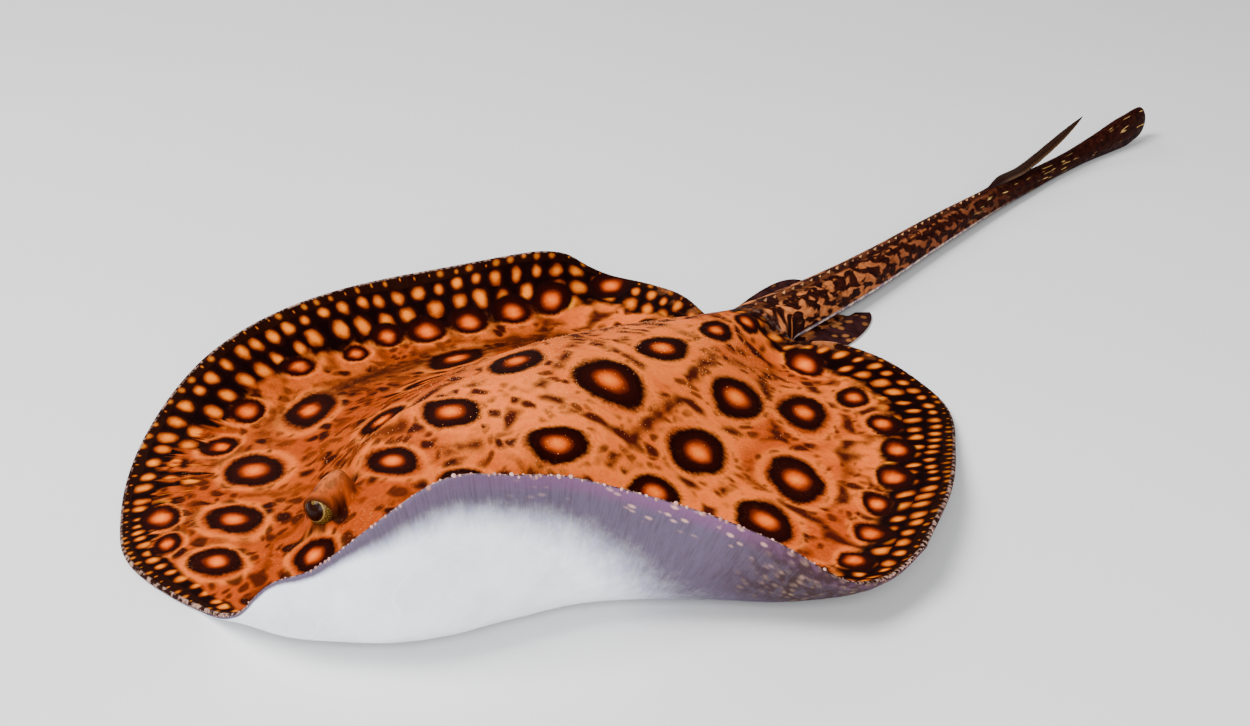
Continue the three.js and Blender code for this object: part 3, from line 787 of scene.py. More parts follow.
skin_mesh = mesh_of("skin", skin_place, faces)
skin_mesh.shade_smooth()
skin_mesh.update()
teach(skin_mesh, **facts)
face_of_loop = np.repeat(np.arange(len(faces)), [len(f) for f in faces])
point_of_loop = np.concatenate([np.array(f) for f in faces])
sheet_of_loop = sheets[face_of_loop]
fin_of_face = np.array([min(known["gap"][v] for v in f) > 49 and sheets[i] == TAIL for i, f in enumerate(faces)])
for name, maker in (("OFBake", bake_map), ("Hide", hide_map)):
    layer = skin_mesh.uv_layers.new(name=name)
    uv = np.zeros((len(point_of_loop), 2))
    for sheet in (UPPER, LOWER, TAIL):
        chosen = sheet_of_loop == sheet
        uv[chosen] = maker(sheet)[point_of_loop[chosen]]
    for side in (1, -1) if name == "OFBake" else ():
        chosen = fin_of_face[face_of_loop] & (np.sign(flat_x[point_of_loop]) == side)
        uv[chosen] = fin_bake_map(side)[point_of_loop[chosen]]
    layer.data.foreach_set("uv", uv.astype(np.float32).ravel())
skin = stand("skin", skin_mesh, (0, 0, 0))
print("skin:", len(skin_mesh.polygons), "faces, maps:", [layer.name for layer in skin_mesh.uv_layers])

# %% [markdown]
# ## A bench for mixing materials
# A material in Blender is a net of nodes, and writing out every node and link hides the idea. On this small bench
# each node hands back a wire that adds, multiplies and mixes like a number, so that a colour can be written like a
# recipe. Numbers that are the same all over a surface are still set straight on the shader.

# %% Wires
def paint(code):
    """A colour from its #rrggbb code, as the shader wants it."""
    parts = [int(code[i : i + 2], 16) / 255 for i in (1, 3, 5)]
    return (*[v / 12.92 if v <= 0.04045 else ((v + 0.055) / 1.055) ** 2.4 for v in parts], 1.0)


class Wire:
    """What comes out of a node: a number, a colour or a place."""

    def __init__(self, bench, socket):
        self.bench, self.socket = bench, socket

    def other(self, output):
        """Another output of the same node."""
        return Wire(self.bench, self.socket.node.outputs[output])

    def math(self, what, b=0.0, c=0.0):
        return self.bench.node("ShaderNodeMath", {0: self, 1: b, 2: c}, operation=what)

    def __add__(self, b):
        return self.math("ADD", b)

    def __sub__(self, b):
        return self.math("SUBTRACT", b)

    def __mul__(self, b):
        return self.math("MULTIPLY", b)

    def __truediv__(self, b):
        return self.math("DIVIDE", b)

    def most(self, b):
        """The larger of two numbers."""
        return self.math("MAXIMUM", b)

    def line(self, slope, start):
        """Slope times this number, plus start."""
        return self.math("MULTIPLY_ADD", slope, start)

    def sway(self, size):
        """A noise turned into a drift to both sides of 0."""
        return self.line(size, -size / 2)

    def step(self, start, end, low=0.0, high=1.0):
        """A smooth step from low at start to high at end."""
        ends = {"Value": self, "From Min": start, "From Max": end, "To Min": low, "To Max": high}
        return self.bench.node("ShaderNodeMapRange", ends, interpolation_type="SMOOTHSTEP")

    def hump(self, centre, half):
        """1 at the centre, falling smoothly to 0 a half width away on both sides."""
        return (self - centre).math("ABSOLUTE").step(half, 0.0)

    def paired(self, y):
        """A flat place from two numbers."""
        return self.bench.node("ShaderNodeCombineXYZ", {0: self, 1: y, 2: 0.0})

    def far(self, y):
        """How far from 0 a place with these two coordinates lies."""
        return (self * self + y * y).math("SQRT")

    def stretch(self, scale, turn=(0, 0, 0)):
        return self.bench.node("ShaderNodeMapping", {"Vector": self, "Rotation": turn, "Scale": scale})

    def noise(self, scale, detail=3.0, rough=0.5, warp=0.0):
        ends = {"Vector": self, "Scale": scale, "Detail": detail, "Roughness": rough, "Distortion": warp}
        return self.bench.node("ShaderNodeTexNoise", ends, noise_dimensions="3D")

    def cells(self, scale, loose=1.0):
        """How far a place lies from the nearest of many scattered points."""
        return self.bench.node("ShaderNodeTexVoronoi", {"Vector": self, "Scale": scale, "Randomness": loose})

    def between(self, a, b):
        """A colour between two others, by this share."""
        return self.bench.mix(self, a, b)

    def coated(self, *coats):
        """This colour under coats laid one after another; each is a share, a colour and perhaps a way to mix."""
        colour = self
        for share, coat, *how in coats:
            colour = self.bench.mix(share, colour, coat, *how)
        return colour

    def bands(self, *stops):
        """Colours along this value, from (place, colour) stops that begin at 0."""
        out = self.bench.node("ShaderNodeValToRGB", {0: self})
        marks = out.socket.node.color_ramp.elements
        marks.remove(marks[1])
        marks[0].color = paint(stops[0][1])
        for place, colour in stops[1:]:
            marks.new(place).color = paint(colour)
        return out

    def bump(self, strength, distance, below=None):
        ends = {"Height": self, "Strength": strength, "Distance": distance}
        return self.bench.node("ShaderNodeBump", ends | ({"Normal": below} if below else {}))


# %% The bench
class Wiring:
    """Adds nodes to a tree; an input takes a value, a #rrggbb colour or a wire."""

    def put(self, socket, value):
        if isinstance(value, Wire):
            self.tree.links.new(value.socket, socket)
        else:
            socket.default_value = paint(value) if isinstance(value, str) and value[0] == "#" else value

    def node(self, kind, inputs, output=0, **settings):
        node = self.tree.nodes.new(kind)
        for key, value in settings.items():
            setattr(node, key, value)
        for key, value in inputs.items():
            self.put(node.inputs[key], value)
        return Wire(self, node.outputs[output])


class Bench(Wiring):
    """A bench for one material."""

    def __init__(self, name):
        self.material = bpy.data.materials.new(name)
        self.material.use_nodes = True
        self.tree = self.material.node_tree
        self.shader = self.tree.nodes["Principled BSDF"]

    def fact(self, name):
        return self.node("ShaderNodeAttribute", {}, 2, attribute_name=name)

    def map(self, name):
        return self.node("ShaderNodeUVMap", {}, uv_map=name)

    def solid(self):
        """The place in the object itself, in metres."""
        return self.node("ShaderNodeTexCoord", {}, 3)

    def mix(self, share, a, b, how="MIX"):
        ends = {0: share, 6: a, 7: b}
        return self.node("ShaderNodeMix", ends, 2, data_type="RGBA", blend_type=how, clamp_factor=True)

    def finish(self, colour, roughness, normal=None, **more):
        """Sets the shader; more are sockets with one value all over, spaces written as underscores."""
        self.put(self.shader.inputs["Base Color"], colour)
        self.put(self.shader.inputs["Roughness"], roughness)
        if normal:
            self.put(self.shader.inputs["Normal"], normal)
        for key, value in more.items():
            self.put(self.shader.inputs[key.replace("_", " ").title().replace("Ior", "IOR")], value)
        return self.material


def speckled(name, grain, dark, pale, dullness, gloss):
    """A material of two colours in soft specks, for the small hard forms."""
    bench = Bench(name)
    tone = bench.solid().noise(grain, 2.0)
    colour = tone.step(0.4, 0.6).between(dark, pale)
    return bench.finish(colour, tone.step(0.3, 0.7, *dullness), specular_ior_level=gloss)


# %% [markdown]
# ## The skin's colours
# The upper side is orange brown with a fine stipple, soft brown blotches and flecks. On it lie the rings, and toward
# the margin a dark net with rows of small pale spots. The under side is white and goes over to a spotted violet-grey
# border. The tail is dark with tan blotches and ends almost black. Five materials with masks between them would show
# a seam, so one material does it all, because it is one skin and each kind of marking fades into the next. Places on
# the hide are in units of 100 mm, so a noise of scale 10 has grains of about 10 mm.

# %% Mix the ground of the upper side
bench = Bench("ray_skin")
hide, fact = bench.map("Hide"), bench.fact
broad, middling, grain = hide.noise(2.6, 2.0), hide.noise(9.0, 3.0, 0.55), hide.noise(85.0, 2.0, 0.6)
ring, gap, net_share, tail_share = (fact(key) for key in ("ring", "gap", "net", "tail"))
front, brow, angle_fact = fact("front"), fact("brow"), fact("angle")
# brown blotches in broken chains halfway between the rings, and flecks elsewhere
wander = bench.node("ShaderNodeVectorMath", {0: hide, 1: hide.noise(8.0, 2.0).other(1).stretch((0.1, 0.1, 0.0))},
                    operation="ADD")
broken = hide.noise(11.0, 0.5)
chain = (fact("between") + hide.noise(15.0, 1.0).sway(9.0)).step(6.0, 0.4)
chain = chain * broken.step(0.42, 0.59) * front.step(0.2, 0.9, 1.0, 0.6)
fleck = wander.stretch((1.0, 1.35, 1.0)).cells(13.0) + middling.sway(0.4) + front * -0.07
fleck = fleck.step(0.48, 0.18) * broken.step(0.56, 0.46).most(front * 0.9)
small_fleck = wander.stretch((1.3, 0.8, 1.0)).cells(22.0) + middling.sway(0.3)
small_fleck = small_fleck.step(0.48, 0.16) * broad.step(0.62, 0.50, 0.1, 0.85)
blotches = chain.most(fleck).most(small_fleck) * ring.step(1.12, 1.34) * brow.step(0.32, 0.06)
mound_mottle = bench.solid().noise(290.0, 3.0, 0.6, 0.5).step(0.46, 0.60, 0.0, 0.7)
ground = broad.step(0.38, 0.62).between("#bf4a12", "#e87326").coated(
    (front * 0.8, "#b0430c"), # browner toward the snout, and painted shade over the far right side
    (fact("crest") * middling.step(0.35, 0.6, 0.25, 0.75), "#f0873a"), # painted highlight along the crest of the back
    (middling.step(0.50, 0.75, 0.0, 0.3), "#9c3d0e"),
    (ring.hump(1.28, 0.3) * 0.8, "#e37429"), # a clear halo round each ring
    (fact("trough") * middling.step(0.3, 0.6, 0.45, 0.92), "#4e1c08"), # painted shade along the foot of the raised rim
    (brow * 0.45, "#d9854a"), # the eye mound
    (brow.step(0.1, 0.4) * mound_mottle, "#6e4020"),
    # blotches darker toward the snout and in the painted shade of the far right side
    (blotches, front.between("#47140a", "#300c05")),
    (fact("brow_shade") * 0.8, "#4a2a38"),
    # painted shade in the creases
    (fact("crease") * 0.85, "#330f08"))
print("the ground uses", len(bench.tree.nodes), "nodes")

# %% [markdown]
# ## Rings and net
# A ring is pale orange inside a near-black band with a soft, slightly ragged rim. The number that each point knows,
# 0 in the middle and 1 at the rim, is pushed a little by noise and then looked up in a band of colours, which keeps
# the rim soft at any distance. The spots of the dark margin net stand in rows like bricks, small ones at the very
# edge. A list of a thousand spots would be hard to change, so the margin is counted off into cells, and each
# cell gets one spot whose place and size come from chance.

# %% Mix the rings
rim_drift = hide.noise(6.5, 1.0).sway(0.6) + hide.noise(17.0, 1.0).sway(0.25) + grain.sway(0.12)
ring_wave = ring + rim_drift * ring.step(0.2, 0.9, 0.25, 1.0)
ring_colour = (ring_wave * net_share.step(1.1, 1.7, 0.76, 1.0) / 1.5).bands(
    (0.0, "#f4932f"), (0.10, "#ec7719"), (0.19, "#cf5208"), (0.28, "#722103"), (0.36, "#2a0703"), (0.55, "#1d0402"),
    (0.66, "#260704"))
ring_share = (ring_wave + grain.sway(0.1)).step(1.17, 0.88)

# %% Mix the dark net and its rows of spots
run, row_fact = fact("run"), fact("row")


def ray_noise(across, inward, *how):
    """A noise stretched along the fin rays."""
    return (run * across).paired(gap * inward).noise(1.0, *how)


row_here = row_fact + (run * 0.05).paired(row_fact * 0.45).noise(1.0, 1.0).sway(0.9)
row = row_here.math("FLOOR")
run_cells = run / row.line(1.7, 3.9) + row * 0.37 # one spot in each cell, larger cells farther in
chance = {"Vector": run_cells.math("FLOOR").paired(row)}
chance = bench.node("ShaderNodeTexWhiteNoise", chance, 1, noise_dimensions="3D")
chance = bench.node("ShaderNodeSeparateColor", {0: chance})
chances = [chance.other(i) for i in range(3)]
across_cell = run_cells.math("FRACT") - chances[0].line(0.3, 0.35)
down_cell = row_here.math("FRACT") - chances[1].line(0.22, 0.39)
spot_half = chances[2].line(0.12, 0.24) * row.step(0.2, 0.8).most(chances[0].step(0.35, 0.8, 0.25, 0.85))
spot = (across_cell / spot_half).far(down_cell / (spot_half + 0.10)) + hide.noise(24.0, 1.0).sway(0.7)
net_colour = (spot / 2.0).bands(
    (0.0, "#f7a21e"), (0.24, "#e67e10"), (0.43, "#933a05"), (0.55, "#2a0b03"), (0.75, "#120303"))
net_colour = net_colour.coated(
    (row.step(1.2, 0.2, 0.0, 0.45), "#2e1206"), # the outermost row is dimmer
    (chances[1] * 0.4, "#c98a5a", "MULTIPLY"), # no two spots quite alike
    (ring.step(1.38, 1.12), "#1c0605"), # no spot cuts into a ring
    (gap.step(1.1, 0.35), hide.noise(60.0).step(0.45, 0.6).between("#2a1512", "#b08a78"))) # the very edge
fray = middling.sway(0.9) + broad.sway(0.3) + ray_noise(0.42, 0.035, 2.0).sway(3.2) * angle_fact.hump(-50.0, 32.0)
net_here = (net_share + fray).step(1.12, 0.86)
stipple = grain.step(0.3, 0.7).between("#6e6e6e", "#a2a2a2")
pale_points = hide.cells(105.0).step(0.34, 0.14) * hide.noise(8.0, 2.0).step(0.42, 0.66)
pale_points = pale_points * ring.step(0.9, 1.15, 0.1, 1.0) * blotches.step(0.0, 1.0, 1.0, 0.4)
back = ground.coated(
    (net_here, net_colour),
    (ring_share, ring_colour),
    (0.5, stipple, "OVERLAY"),
    (pale_points * net_share.step(0.9, 1.2, 0.0, 0.26), "#dd8748"))
print("with rings, net and points:", len(bench.tree.nodes), "nodes")

# %% [markdown]
# ## Under side and tail
# A ray's belly is white with faint skin lines. Its border is violet-grey with fine streaks along the fin rays and
# pale spots toward the rear. The tail's blotches follow its length and wrap round it, which works because the Hide
# map is unrolled there. Both could be painted by hand, but noise along the right direction gives the same look and
# stays sharp close up.

# %% Mix the under side
pale, marbled = fact("pale"), fact("marbled")
streaks, fine_streaks = ray_noise(0.5, 0.14, 4.0, 0.7), ray_noise(1.6, 0.10, 3.0, 0.7)
edge_place = ((run + gap * -0.5) * 0.11).paired(gap * 0.11)
mottle = edge_place.noise(2.2, 3.0, 0.6, 0.4)
specks = edge_place.stretch((1.9, 3.4, 1.0)).cells(1.35, 0.8) + middling.sway(0.3)
specks = specks.step(0.56, 0.16) * marbled.step(0.3, 0.9) * mottle.step(0.40, 0.56, 0.1, 0.6)
edge_spots = edge_place.stretch((1.7, 3.4, 1.0)).cells(1.3) + streaks.sway(0.2)
edge_spots = edge_spots.step(0.36, 0.10) * gap.step(8.0, 5.0) * angle_fact.hump(54.0, 26.0)
border_colour = fine_streaks.step(0.36, 0.62).between("#59619a", "#7a7595").coated(
    (pale.step(1.0, 0.6), "#5c5164"), # greyer toward the edge
    (fine_streaks.step(0.42, 0.66, 0.0, 0.5), "#463b42"),
    (gap.hump(1.0, 4.2) * angle_fact.step(15.0, 45.0) * 0.5, "#7c4a72"), # a rosy hem
    (marbled * mottle.step(0.35, 0.6, 0.5, 0.9), "#352422"),
    (specks, "#8a7060"),
    (edge_spots * 0.85, "#cfa194"))
border = (pale + streaks.sway(0.32) + hide.noise(20.0, 4.0, 0.7).sway(0.42)).step(1.5, 0.45)
lines = hide.stretch((0.55, 1.9, 1.0), (0, 0, 0.6)).noise(5.0, 0.5, 0.4, 0.5)
under = middling.step(0.35, 0.7).between("#f6f9fd", "#e8ecf2").coated(
    (lines.hump(0.5, 0.012) * 0.6, "#ffffff"),
    (border, border_colour),
    (fact("hollow") * 0.6, "#b58c90")) # pinkish painted shade in the mouth and gill slits
print("with the under side:", len(bench.tree.nodes), "nodes")

# %% Mix the tail and the pelvic fins
along, turn = fact("along"), fact("turn").math("ABSOLUTE")
tail_fleck = hide.noise(30.0, 3.0, 0.6, 0.4)
tail_blobs = hide.stretch((1.1, 0.85, 1.0)).noise(19.0, 1.5, 0.5, 0.4)
tan_share = (tail_blobs + tail_fleck.sway(0.2)).step(0.495, 0.60) * along.step(3.0, 2.4)
tail_tan = along.step(1.1, 2.3).between("#c8733e", "#7a4228").coated((tail_fleck.step(0.4, 0.65, 0.0, 0.6), "#6e3214"))
tail_dark = tail_fleck.step(0.35, 0.7).between("#1c0806", "#33130b")
streak = hide.stretch((9.0, 1.1, 1.0)).noise(7.5, 1.0).step(0.65, 0.69) * along.step(2.4, 2.8)
tail = tail_dark.coated(
    (tan_share, tail_tan),
    (turn.step(0.36, 0.22, 0.0, 0.8), tail_dark), # along the top
    (turn.hump(0.45, 0.09) * along.step(2.9, 2.2) * tail_fleck.step(0.5, 0.6, 0.0, 0.7), "#b5652f"),
    (streak * turn.step(0.3, 0.6), "#c49a58"), # pale streaks toward the tip
    (turn.step(1.75, 2.0), tail_fleck.step(0.4, 0.6).between("#1a0c0c", "#3b2522")), # below
    (turn.hump(1.93, 0.13) * along.step(3.1, 2.2, 0.0, 0.9),
     tail_fleck.step(0.45, 0.55).between("#8d7c8c", "#e3c7b0"))) # the keel's pale line
pelvic_spots = (hide.stretch((1.0, 0.7, 1.0)).cells(24.0) + tail_fleck.sway(0.3)).step(0.32, 0.16)
pelvic_colour = tail_fleck.step(0.3, 0.7).between("#1d0c0c", "#33191a").coated(
    (pelvic_spots * along.step(1.5, 1.15, 0.35, 0.9), "#b8743a"))
print("with the tail:", len(bench.tree.nodes), "nodes")

# %% Put the skin's colours together
top_colour = back.coated(
    (tail_share, tail),
    (fact("pelvic"), pelvic_colour),
    (fact("hollow") * 0.8, "#32120b"), # painted shade in the spiracles
    # painted shade along the lid's rim round each eye
    (fact("lid") * 0.85, "#35190c"))
pale_root = middling.step(0.4, 0.65).between("#c9c3cc", "#9a8f9e")
tail_below = (along + tail_fleck.sway(0.6)).step(1.15, 1.75).between(pale_root, tail)
low_colour = under.coated((tail_share, tail.coated((turn.step(2.1, 2.6), tail_below))))
skin_colour = top_colour.coated((fact("belly"), low_colour))
pebbles = hide.cells(105.0).bump(0.2, 0.0003, grain.bump(0.35, 0.0004))
soft_folds = hide.noise(14.0, 3.0).bump(0.35, 0.0009, pebbles)
skin_mesh.materials.append(bench.finish(skin_colour, grain.line(0.2, 0.48), soft_folds, specular_ior_level=0.015))
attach(skin, "root")
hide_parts("head", "trunk", "pectoral_fin_left", "pectoral_fin_right", "pelvic_fin_left", "pelvic_fin_right",
            "tail_base", "tail_middle", "tail_end")
print("the skin's material has", len(bench.tree.nodes), "nodes")

# %% [markdown]
# ## Eyes
# Each eye is a ball with a slightly bulging cornea. The iris is olive gold with dark flecks, and a small flap
# hangs into the round dark pupil from above, as a ray's does. The ball could be a plain sphere with a painted image;
# here each point learns its two angles from the way the eye looks, and the material draws pupil and iris from them.

# %% Make the eyes
EYE_LOOKS = np.array([-0.04, -0.97, 0.22]) # for the left eye; the right one mirrors it
CORNEA_BULGE, CORNEA_REACH = 0.3, 34 # mm and degrees


def eyeball(side, sign):
    work = bmesh.new()
    bmesh.ops.create_icosphere(work, subdivisions=5, radius=1)
    mesh = bpy.data.meshes.new("eye_" + side)
    work.to_mesh(mesh)
    work.free()
    ways = np.zeros(len(mesh.vertices) * 3)
    mesh.vertices.foreach_get("co", ways)
    ways = ways.reshape(-1, 3)
    looks = EYE_LOOKS * (sign, 1, 1) / np.linalg.norm(EYE_LOOKS)
    across = np.cross(looks, (0, 0, 1))
    across = across / np.linalg.norm(across)
    above = np.cross(across, looks)
    from_look = np.degrees(np.arccos(np.clip(ways @ looks, -1, 1)))
    flat_size = np.maximum(np.hypot(ways @ across, ways @ above), 1e-6)
    radius = EYE_RADIUS + CORNEA_BULGE * bell(from_look, 0, CORNEA_REACH)
    places = eye_centres[side] + ways * radius[:, None] * MM
    mesh.vertices.foreach_set("co", places.ravel())
    teach(mesh, eye_across=from_look * (ways @ across) / flat_size, eye_above=from_look * (ways @ above) / flat_size)
    mesh.shade_smooth()
    eye = stand("living_eye_" + side, mesh, (0, 0, 0))
    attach(eye, "root")
    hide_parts("eye_" + side)
    return eye


# %% Paint the eyes
bench = Bench("ray_eye")
eye_across, eye_above = bench.fact("eye_across"), bench.fact("eye_above")
eye_place = eye_across.paired(eye_above)
from_look = bench.node("ShaderNodeVectorMath", {0: eye_place}, 1, operation="LENGTH")
flecks = eye_place.stretch((0.05, 0.05, 1.0)).noise(4.0, 4.0, 0.65)
pupil_out = (eye_across / 40.0).far(eye_above / 37.0) # 1 at the pupil's rim, the sizes in degrees
flap_out = (eye_across / 11.0).far((eye_above - 36.0) / 14.0)
pupil = pupil_out.step(1.06, 0.90) * flap_out.step(0.95, 1.05)
eye_colour = flecks.step(0.38, 0.62).between("#2a1e08", "#7c5c24").coated(
    # painted shade of the lids on the edge of the ball
    (from_look.step(54.0, 80.0), "#2c130a"),
    (pupil_out.hump(1.07, 0.10) * 0.65, "#b09050"),
    (pupil, flecks.step(0.4, 0.6).between("#160704", "#260d05")))
eye_material = bench.finish(eye_colour, pupil.step(0.0, 1.0, 0.4, 0.25), coat_weight=0.06, coat_roughness=0.22,
                            specular_ior_level=0.06)
for side, sign in (("left", 1), ("right", -1)):
    eyeball(side, sign).data.materials.append(eye_material)
print("two eyes with", len(bench.tree.nodes), "material nodes")

# %% [markdown]
# ## The sting
# The sting is a flat horny blade, barbed along both edges, with its root in a sheath of skin on the tail. It lies
# along the tail and lifts off it toward its tip. It could be a cone with stuck-on spikes, but real barbs are part of
# the blade's edge, so here the width itself goes in and out like a saw.

# %% Carve the barbed sting
STING = {"base": 276.0, "length": 76.0, "rise": 12.3, "leaves": 0.31, "sunk": 0.35, "half_width": 2.5, "thickness": 3.3,
         "barb": 0.5, "barb_pitch": 1.9, "tip_half": 0.15, "tip_thick": 0.35}
SECTION_ACROSS = np.array([1, 0.72, 0.3, 0, 0.3, 0.72] * 2) # how far from the midline the points of a section are
SECTION_SIDE = np.array([-1, -1, -1, 0, 1, 1, 1, 1, 1, 0, -1, -1])
SECTION_UP = np.array([0.42, 0.8, 1.0, 1.0, 1.0, 0.8, 0.42, 0.1, 0, 0, 0, 0.1])


def sting_section(t):
    """One cross section of the blade at a share t of its length."""
    taper = (1 - t**6) * ramp(t, -0.07, 0.17)
    half = STING["tip_half"] + (STING["half_width"] - STING["tip_half"]) * taper
    saw = (t * STING["length"] / STING["barb_pitch"]) % 1
    half = half - STING["barb"] * (1 - saw) * ramp(t, 0.28, 0.4) * taper
    thick = STING["tip_thick"] + (STING["thickness"] - STING["tip_thick"]) * taper
    up = SECTION_UP * thick
    up[[3, 9]] += (-0.12 * thick, 0.12 * thick) # a groove above and below
    free = max((t - STING["leaves"]) / (1 - STING["leaves"]), 0)
    y = STING["base"] + STING["length"] * t
    z = float(tail_height(y)) + STING["sunk"] + STING["rise"] * free**1.3
    return np.array(pose_tail(SECTION_ACROSS * SECTION_SIDE * half, np.full(12, y), z + up)).T


def sting_mesh():
    shares = np.arange(0, 1.0001, STING["barb_pitch"] / STING["length"] / 5) # five sections for each barb
    shares = np.append(shares[shares < 0.995], 1.0)
    count, last = len(SECTION_UP), len(shares) - 1
    faces = [(i * count + j, i * count + (j + 1) % count, (i + 1) * count + (j + 1) % count, (i + 1) * count + j)
             for i in range(last) for j in range(count)]
    faces += [tuple(range(count))[::-1], tuple(range(last * count, (last + 1) * count))]
    sections = np.concatenate([sting_section(float(t)) for t in shares])
    mesh = mesh_of("sting", (sections + ORIGIN) * MM, faces)
    work = bmesh.new()
    work.from_mesh(mesh)
    bmesh.ops.recalc_face_normals(work, faces=work.faces)
    work.to_mesh(mesh)
    work.free()
    teach(mesh, along_sting=np.repeat(shares, count), across_sting=np.tile(SECTION_ACROSS, len(shares)))
    mesh.shade_smooth()
    return mesh


sting = stand("barbed_sting", sting_mesh(), (0, 0, 0))
bench = Bench("ray_horn")
horn_along, horn_across = bench.fact("along_sting"), bench.fact("across_sting")
fibres = (horn_along * 5.0).paired(horn_across * 9.0).noise(3.0, 3.0, 0.6)
horn = fibres.step(0.35, 0.65).between("#170b06", "#321b0f").coated(
    (horn_across.step(0.75, 1.0) * 0.5, "#6e4a28"), # paler barbs
    (horn_along.step(0.22, 0.06), "#1f0b08")) # the sheath at the root
sting.data.materials.append(
    bench.finish(horn, fibres.step(0.3, 0.7, 0.3, 0.5), fibres.bump(0.3, 0.0003), specular_ior_level=0.06))
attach(sting, "root")
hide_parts("tail_sting")
print("sting:", len(sting.data.polygons), "faces")

# %% [markdown]
# ## What repeats: beads, denticles and thorns
# Three kinds of small form repeat over the animal. Pale beads sit along the margin, tiny tooth-like denticles stud
# the middle of the back, and a row of thorns runs down the tail to the sting. Placing thousands by hand is hopeless,
# so each kind is a Geometry Nodes tree: it spreads points along a line or over a surface, puts a small shape on
# each, and hands back one mesh. The trees have named inputs, so sizes can be tried out in the modifier panel.

# %% A bench for Geometry Nodes
class Sprouter(Wiring):
    """One Geometry Nodes tree with named number inputs."""

    def __init__(self, name, **inputs):
        self.tree = bpy.data.node_groups.new(name, "GeometryNodeTree")
        self.start, self.end = self.tree.nodes.new("NodeGroupInput"), self.tree.nodes.new("NodeGroupOutput")
        self.values = {}
        sockets = self.tree.interface
        for way in ("INPUT", "OUTPUT"):
            sockets.new_socket("Geometry", in_out=way, socket_type="NodeSocketGeometry")
        for title, value in inputs.items():
            kind = "NodeSocketInt" if isinstance(value, int) else "NodeSocketFloat"
            socket = sockets.new_socket(title, in_out="INPUT", socket_type=kind)
            self.values[socket.identifier] = value

    def given(self, title):
        return Wire(self, self.start.outputs[title])

    def known(self, name):
        """A fact that the points of the given mesh know."""
        return self.node("GeometryNodeInputNamedAttribute", {"Name": name}, 0, data_type="FLOAT")

    def spots_on_line(self):
        """Points along the given line, a spacing apart."""
        curve = self.node("GeometryNodeMeshToCurve", {"Mesh": self.given("Geometry")})
        ends = {"Curve": curve, "Length": self.given("Spacing")}
        return self.node("GeometryNodeResampleCurve", ends, mode="LENGTH")

    def any_size(self):
        """A chance size between Smallest and Largest for each point."""
        ends = {2: self.given("Smallest"), 3: self.given("Largest"), "Seed": self.given("Seed")}
        return self.node("FunctionNodeRandomValue", ends, 1, data_type="FLOAT")

    def sprout(self, points, shape, scale, material, **more):
        """Puts the shape on the points, makes it real and gives it its material."""
        placed = self.node("GeometryNodeInstanceOnPoints", {"Points": points, "Instance": shape, "Scale": scale} | more)
        real = self.node("GeometryNodeRealizeInstances", {"Geometry": placed})
        done = self.node("GeometryNodeSetMaterial", {"Geometry": real, "Material": material})
        self.put(self.end.inputs[0], done)

    def run(self, name, mesh):
        """Runs the tree on a mesh and keeps the result as a piece with a plain mesh."""
        seed_bed = stand(name + "_bed", mesh, (0, 0, 0))
        modifier = seed_bed.modifiers.new("sprout", "NODES")
        modifier.node_group = self.tree
        for identifier, value in self.values.items():
            modifier[identifier] = value
        plain = bpy.data.meshes.new_from_object(seed_bed.evaluated_get(bpy.context.evaluated_depsgraph_get()))
        bpy.data.objects.remove(seed_bed)
        plain.shade_smooth()
        piece = stand(name, plain, (0, 0, 0))
        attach(piece, "root")
        print(name + ":", len(plain.polygons), "faces")


def line_mesh(name, places):
    return mesh_of(name, places, edges=[(i, i + 1) for i in range(len(places) - 1)])


# %% [markdown]
# ### Beads
# The folded margin carries a row of pale skin beads, no two alike. They follow a line, so the tree walks along the
# margin, drops a point every millimetre and a half, shoves it a little and gives it a chance size.

# %% Beads along the margin
BEADED = (-20.0, 128.0) # degrees of the margin that stand as a wall with its edge in sight
BEAD_LINE_POINTS, BEADS_SET_IN = 900, 0.3
bead_angles = np.linspace(*BEADED, BEAD_LINE_POINTS)
bead_radius, bead_turn = disc_radius(bead_angles) - BEADS_SET_IN, np.radians(bead_angles)
bead_places = posed(bead_radius * np.sin(bead_turn), -bead_radius * np.cos(bead_turn),
                    np.full(BEAD_LINE_POINTS, MARGIN_THICKNESS / 2))
bead_line = line_mesh("bead_line", bead_places)
teach(bead_line, swell=0.4 + 0.6 * ramp(bead_angles, -2, 14) * (1 - ramp(bead_angles, 60, 84)))
tree = Sprouter("margin_beads", Spacing=0.0015, Smallest=0.0002, Largest=0.0007, Jitter=0.0006, Seed=7)
spots = tree.spots_on_line()
shove = tree.node("FunctionNodeRandomValue", {"Seed": tree.given("Seed")}, 0, data_type="FLOAT_VECTOR")
shove = tree.node("ShaderNodeVectorMath", {0: shove, 1: (-0.5, -0.5, -0.5)}, operation="ADD")
shove = tree.node("ShaderNodeVectorMath", {0: shove, "Scale": tree.given("Jitter")}, operation="SCALE")
spots = tree.node("GeometryNodeSetPosition", {"Geometry": spots, "Offset": shove})
bead = tree.node("GeometryNodeMeshUVSphere", {"Segments": 8, "Rings": 5, "Radius": 1.0})
tree.sprout(spots, bead, tree.any_size() * tree.known("swell"),
            speckled("margin_bead", 160.0, "#a06e66", "#d0a090", (0.5, 0.7), 0.06))
tree.run("margin_beads", bead_line)

# %% [markdown]
# ### Denticles
# The back feels like sandpaper, because tiny teeth stand in the skin. They cover a surface, so the tree scatters
# points over the skin's own faces, thickest along the middle and thin on the dark bands, and stands a small blunt
# cone upright on each.

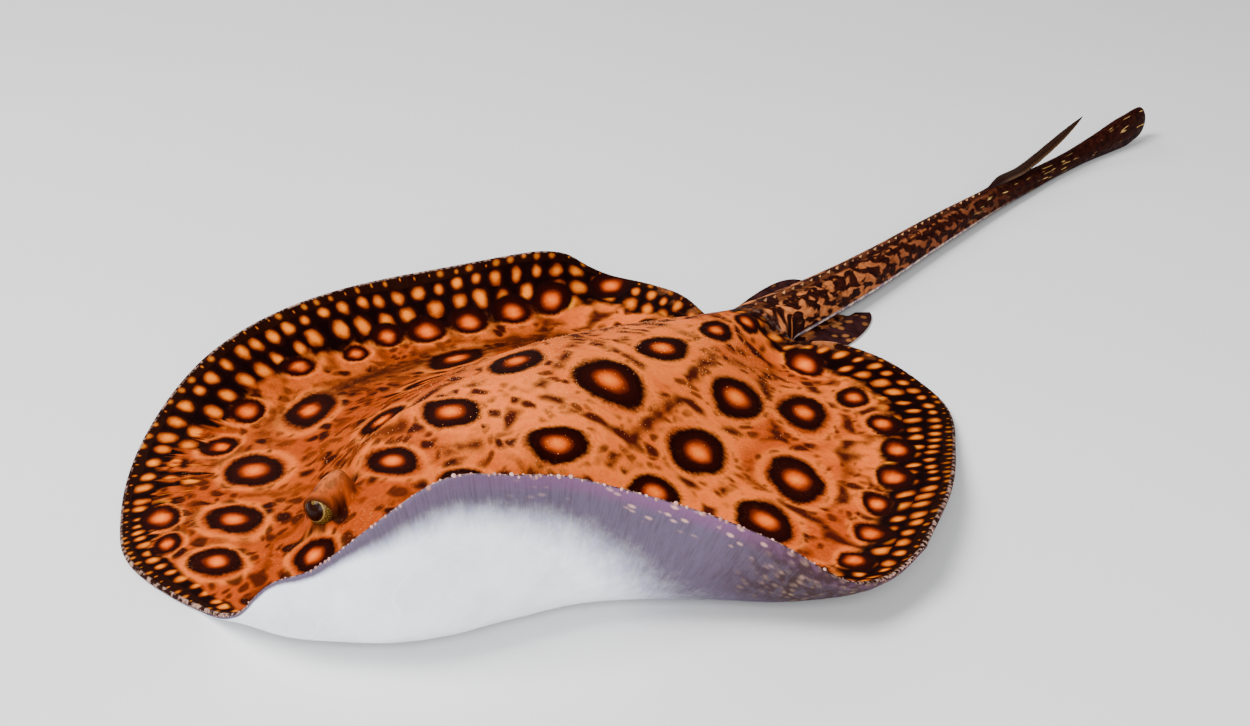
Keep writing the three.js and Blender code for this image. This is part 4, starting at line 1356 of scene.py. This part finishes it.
# %% Denticles on the back
def denticle_ground():
    """The skin's own faces on the middle of the back, with how thick the denticles stand."""
    thick = bell(flat_x, 0, 34) * ramp(flat_y, -62, -35) * (1 - ramp(flat_y, 70, 100)) * upper
    patch = bell(np.hypot(flat_x - 6.5, flat_y + 22), 0, 5.5) * upper
    dark_band = ramp(facts["ring"], 0.35, 0.55) * (1 - ramp(facts["ring"], 0.9, 1.05))
    thick = np.clip(thick * 0.8 * (1 - 0.92 * dark_band) + patch, 0, 1) * (lid < 0.05)
    kept = [face for face in faces if min(thick[v] for v in face) > 0.06]
    used = sorted({v for face in kept for v in face})
    at = {v: i for i, v in enumerate(used)}
    mesh = mesh_of("denticle_ground", skin_place[used], [[at[v] for v in face] for face in kept])
    teach(mesh, thick=thick[used])
    return mesh


tree = Sprouter("back_denticles", Apart=0.0012, Density=900000.0, Smallest=0.0001, Largest=0.00021, Seed=3)
scatter = tree.node("GeometryNodeDistributePointsOnFaces", {
    "Mesh": tree.given("Geometry"), "Distance Min": tree.given("Apart"), "Density Max": tree.given("Density"),
    "Density Factor": tree.known("thick"), "Seed": tree.given("Seed")}, distribute_method="POISSON")
tooth = tree.node("GeometryNodeMeshCone", {"Vertices": 5, "Radius Top": 0.25, "Radius Bottom": 1.0, "Depth": 0.9})
tree.sprout(scatter, tooth, tree.any_size(),
            speckled("denticle", 90.0, "#b8652f", "#e09a5e", (0.45, 0.65), 0.05), Rotation=scatter.other("Rotation"))
tree.run("back_denticles", denticle_ground())

# %% [markdown]
# ### Thorns
# A single row of larger thorns leans back along the top of the tail. A row with even steps needs only a line and a
# spacing, and one lean for all of them.

# %% Thorns down the tail
THORNED = (112, 268) # mm behind the middle of the disc, up to the sting
thorn_y = np.linspace(*THORNED, 320)
thorn_line = line_mesh("thorn_line", posed(0 * thorn_y, thorn_y, tail_height(thorn_y) + 0.1, 1.0))
tree = Sprouter("tail_thorns", Spacing=0.0052, Smallest=0.00042, Largest=0.00072, Lean=0.75, Seed=5)
lean = tree.node("ShaderNodeCombineXYZ", {0: 0.15, 1: tree.given("Lean"), 2: 1.0})
leaning = tree.node("FunctionNodeAlignRotationToVector", {"Vector": lean}, axis="Z")
thorn = tree.node("GeometryNodeMeshCone", {"Vertices": 8, "Radius Top": 0.08, "Radius Bottom": 1.0, "Depth": 1.9})
tree.sprout(tree.spots_on_line(), thorn, tree.any_size(),
            speckled("tail_thorn", 120.0, "#7a4826", "#b8804e", (0.35, 0.5), 0.3), Rotation=leaning)
tree.run("tail_thorns", thorn_line)

# %% [markdown]
# ## The floor's look
# The floor is only a stage for the animal, so it is pale and plain, with a faint unevenness like matt paper.

# %% Paint the floor
bench = Bench("pale_floor")
floor_colour = bench.solid().noise(6.0, 2.0).between("#e4e3e1", "#e9e8e7")
floor.data.materials.append(bench.finish(floor_colour, 0.9, specular_ior_level=0.05))
print("the floor is painted")
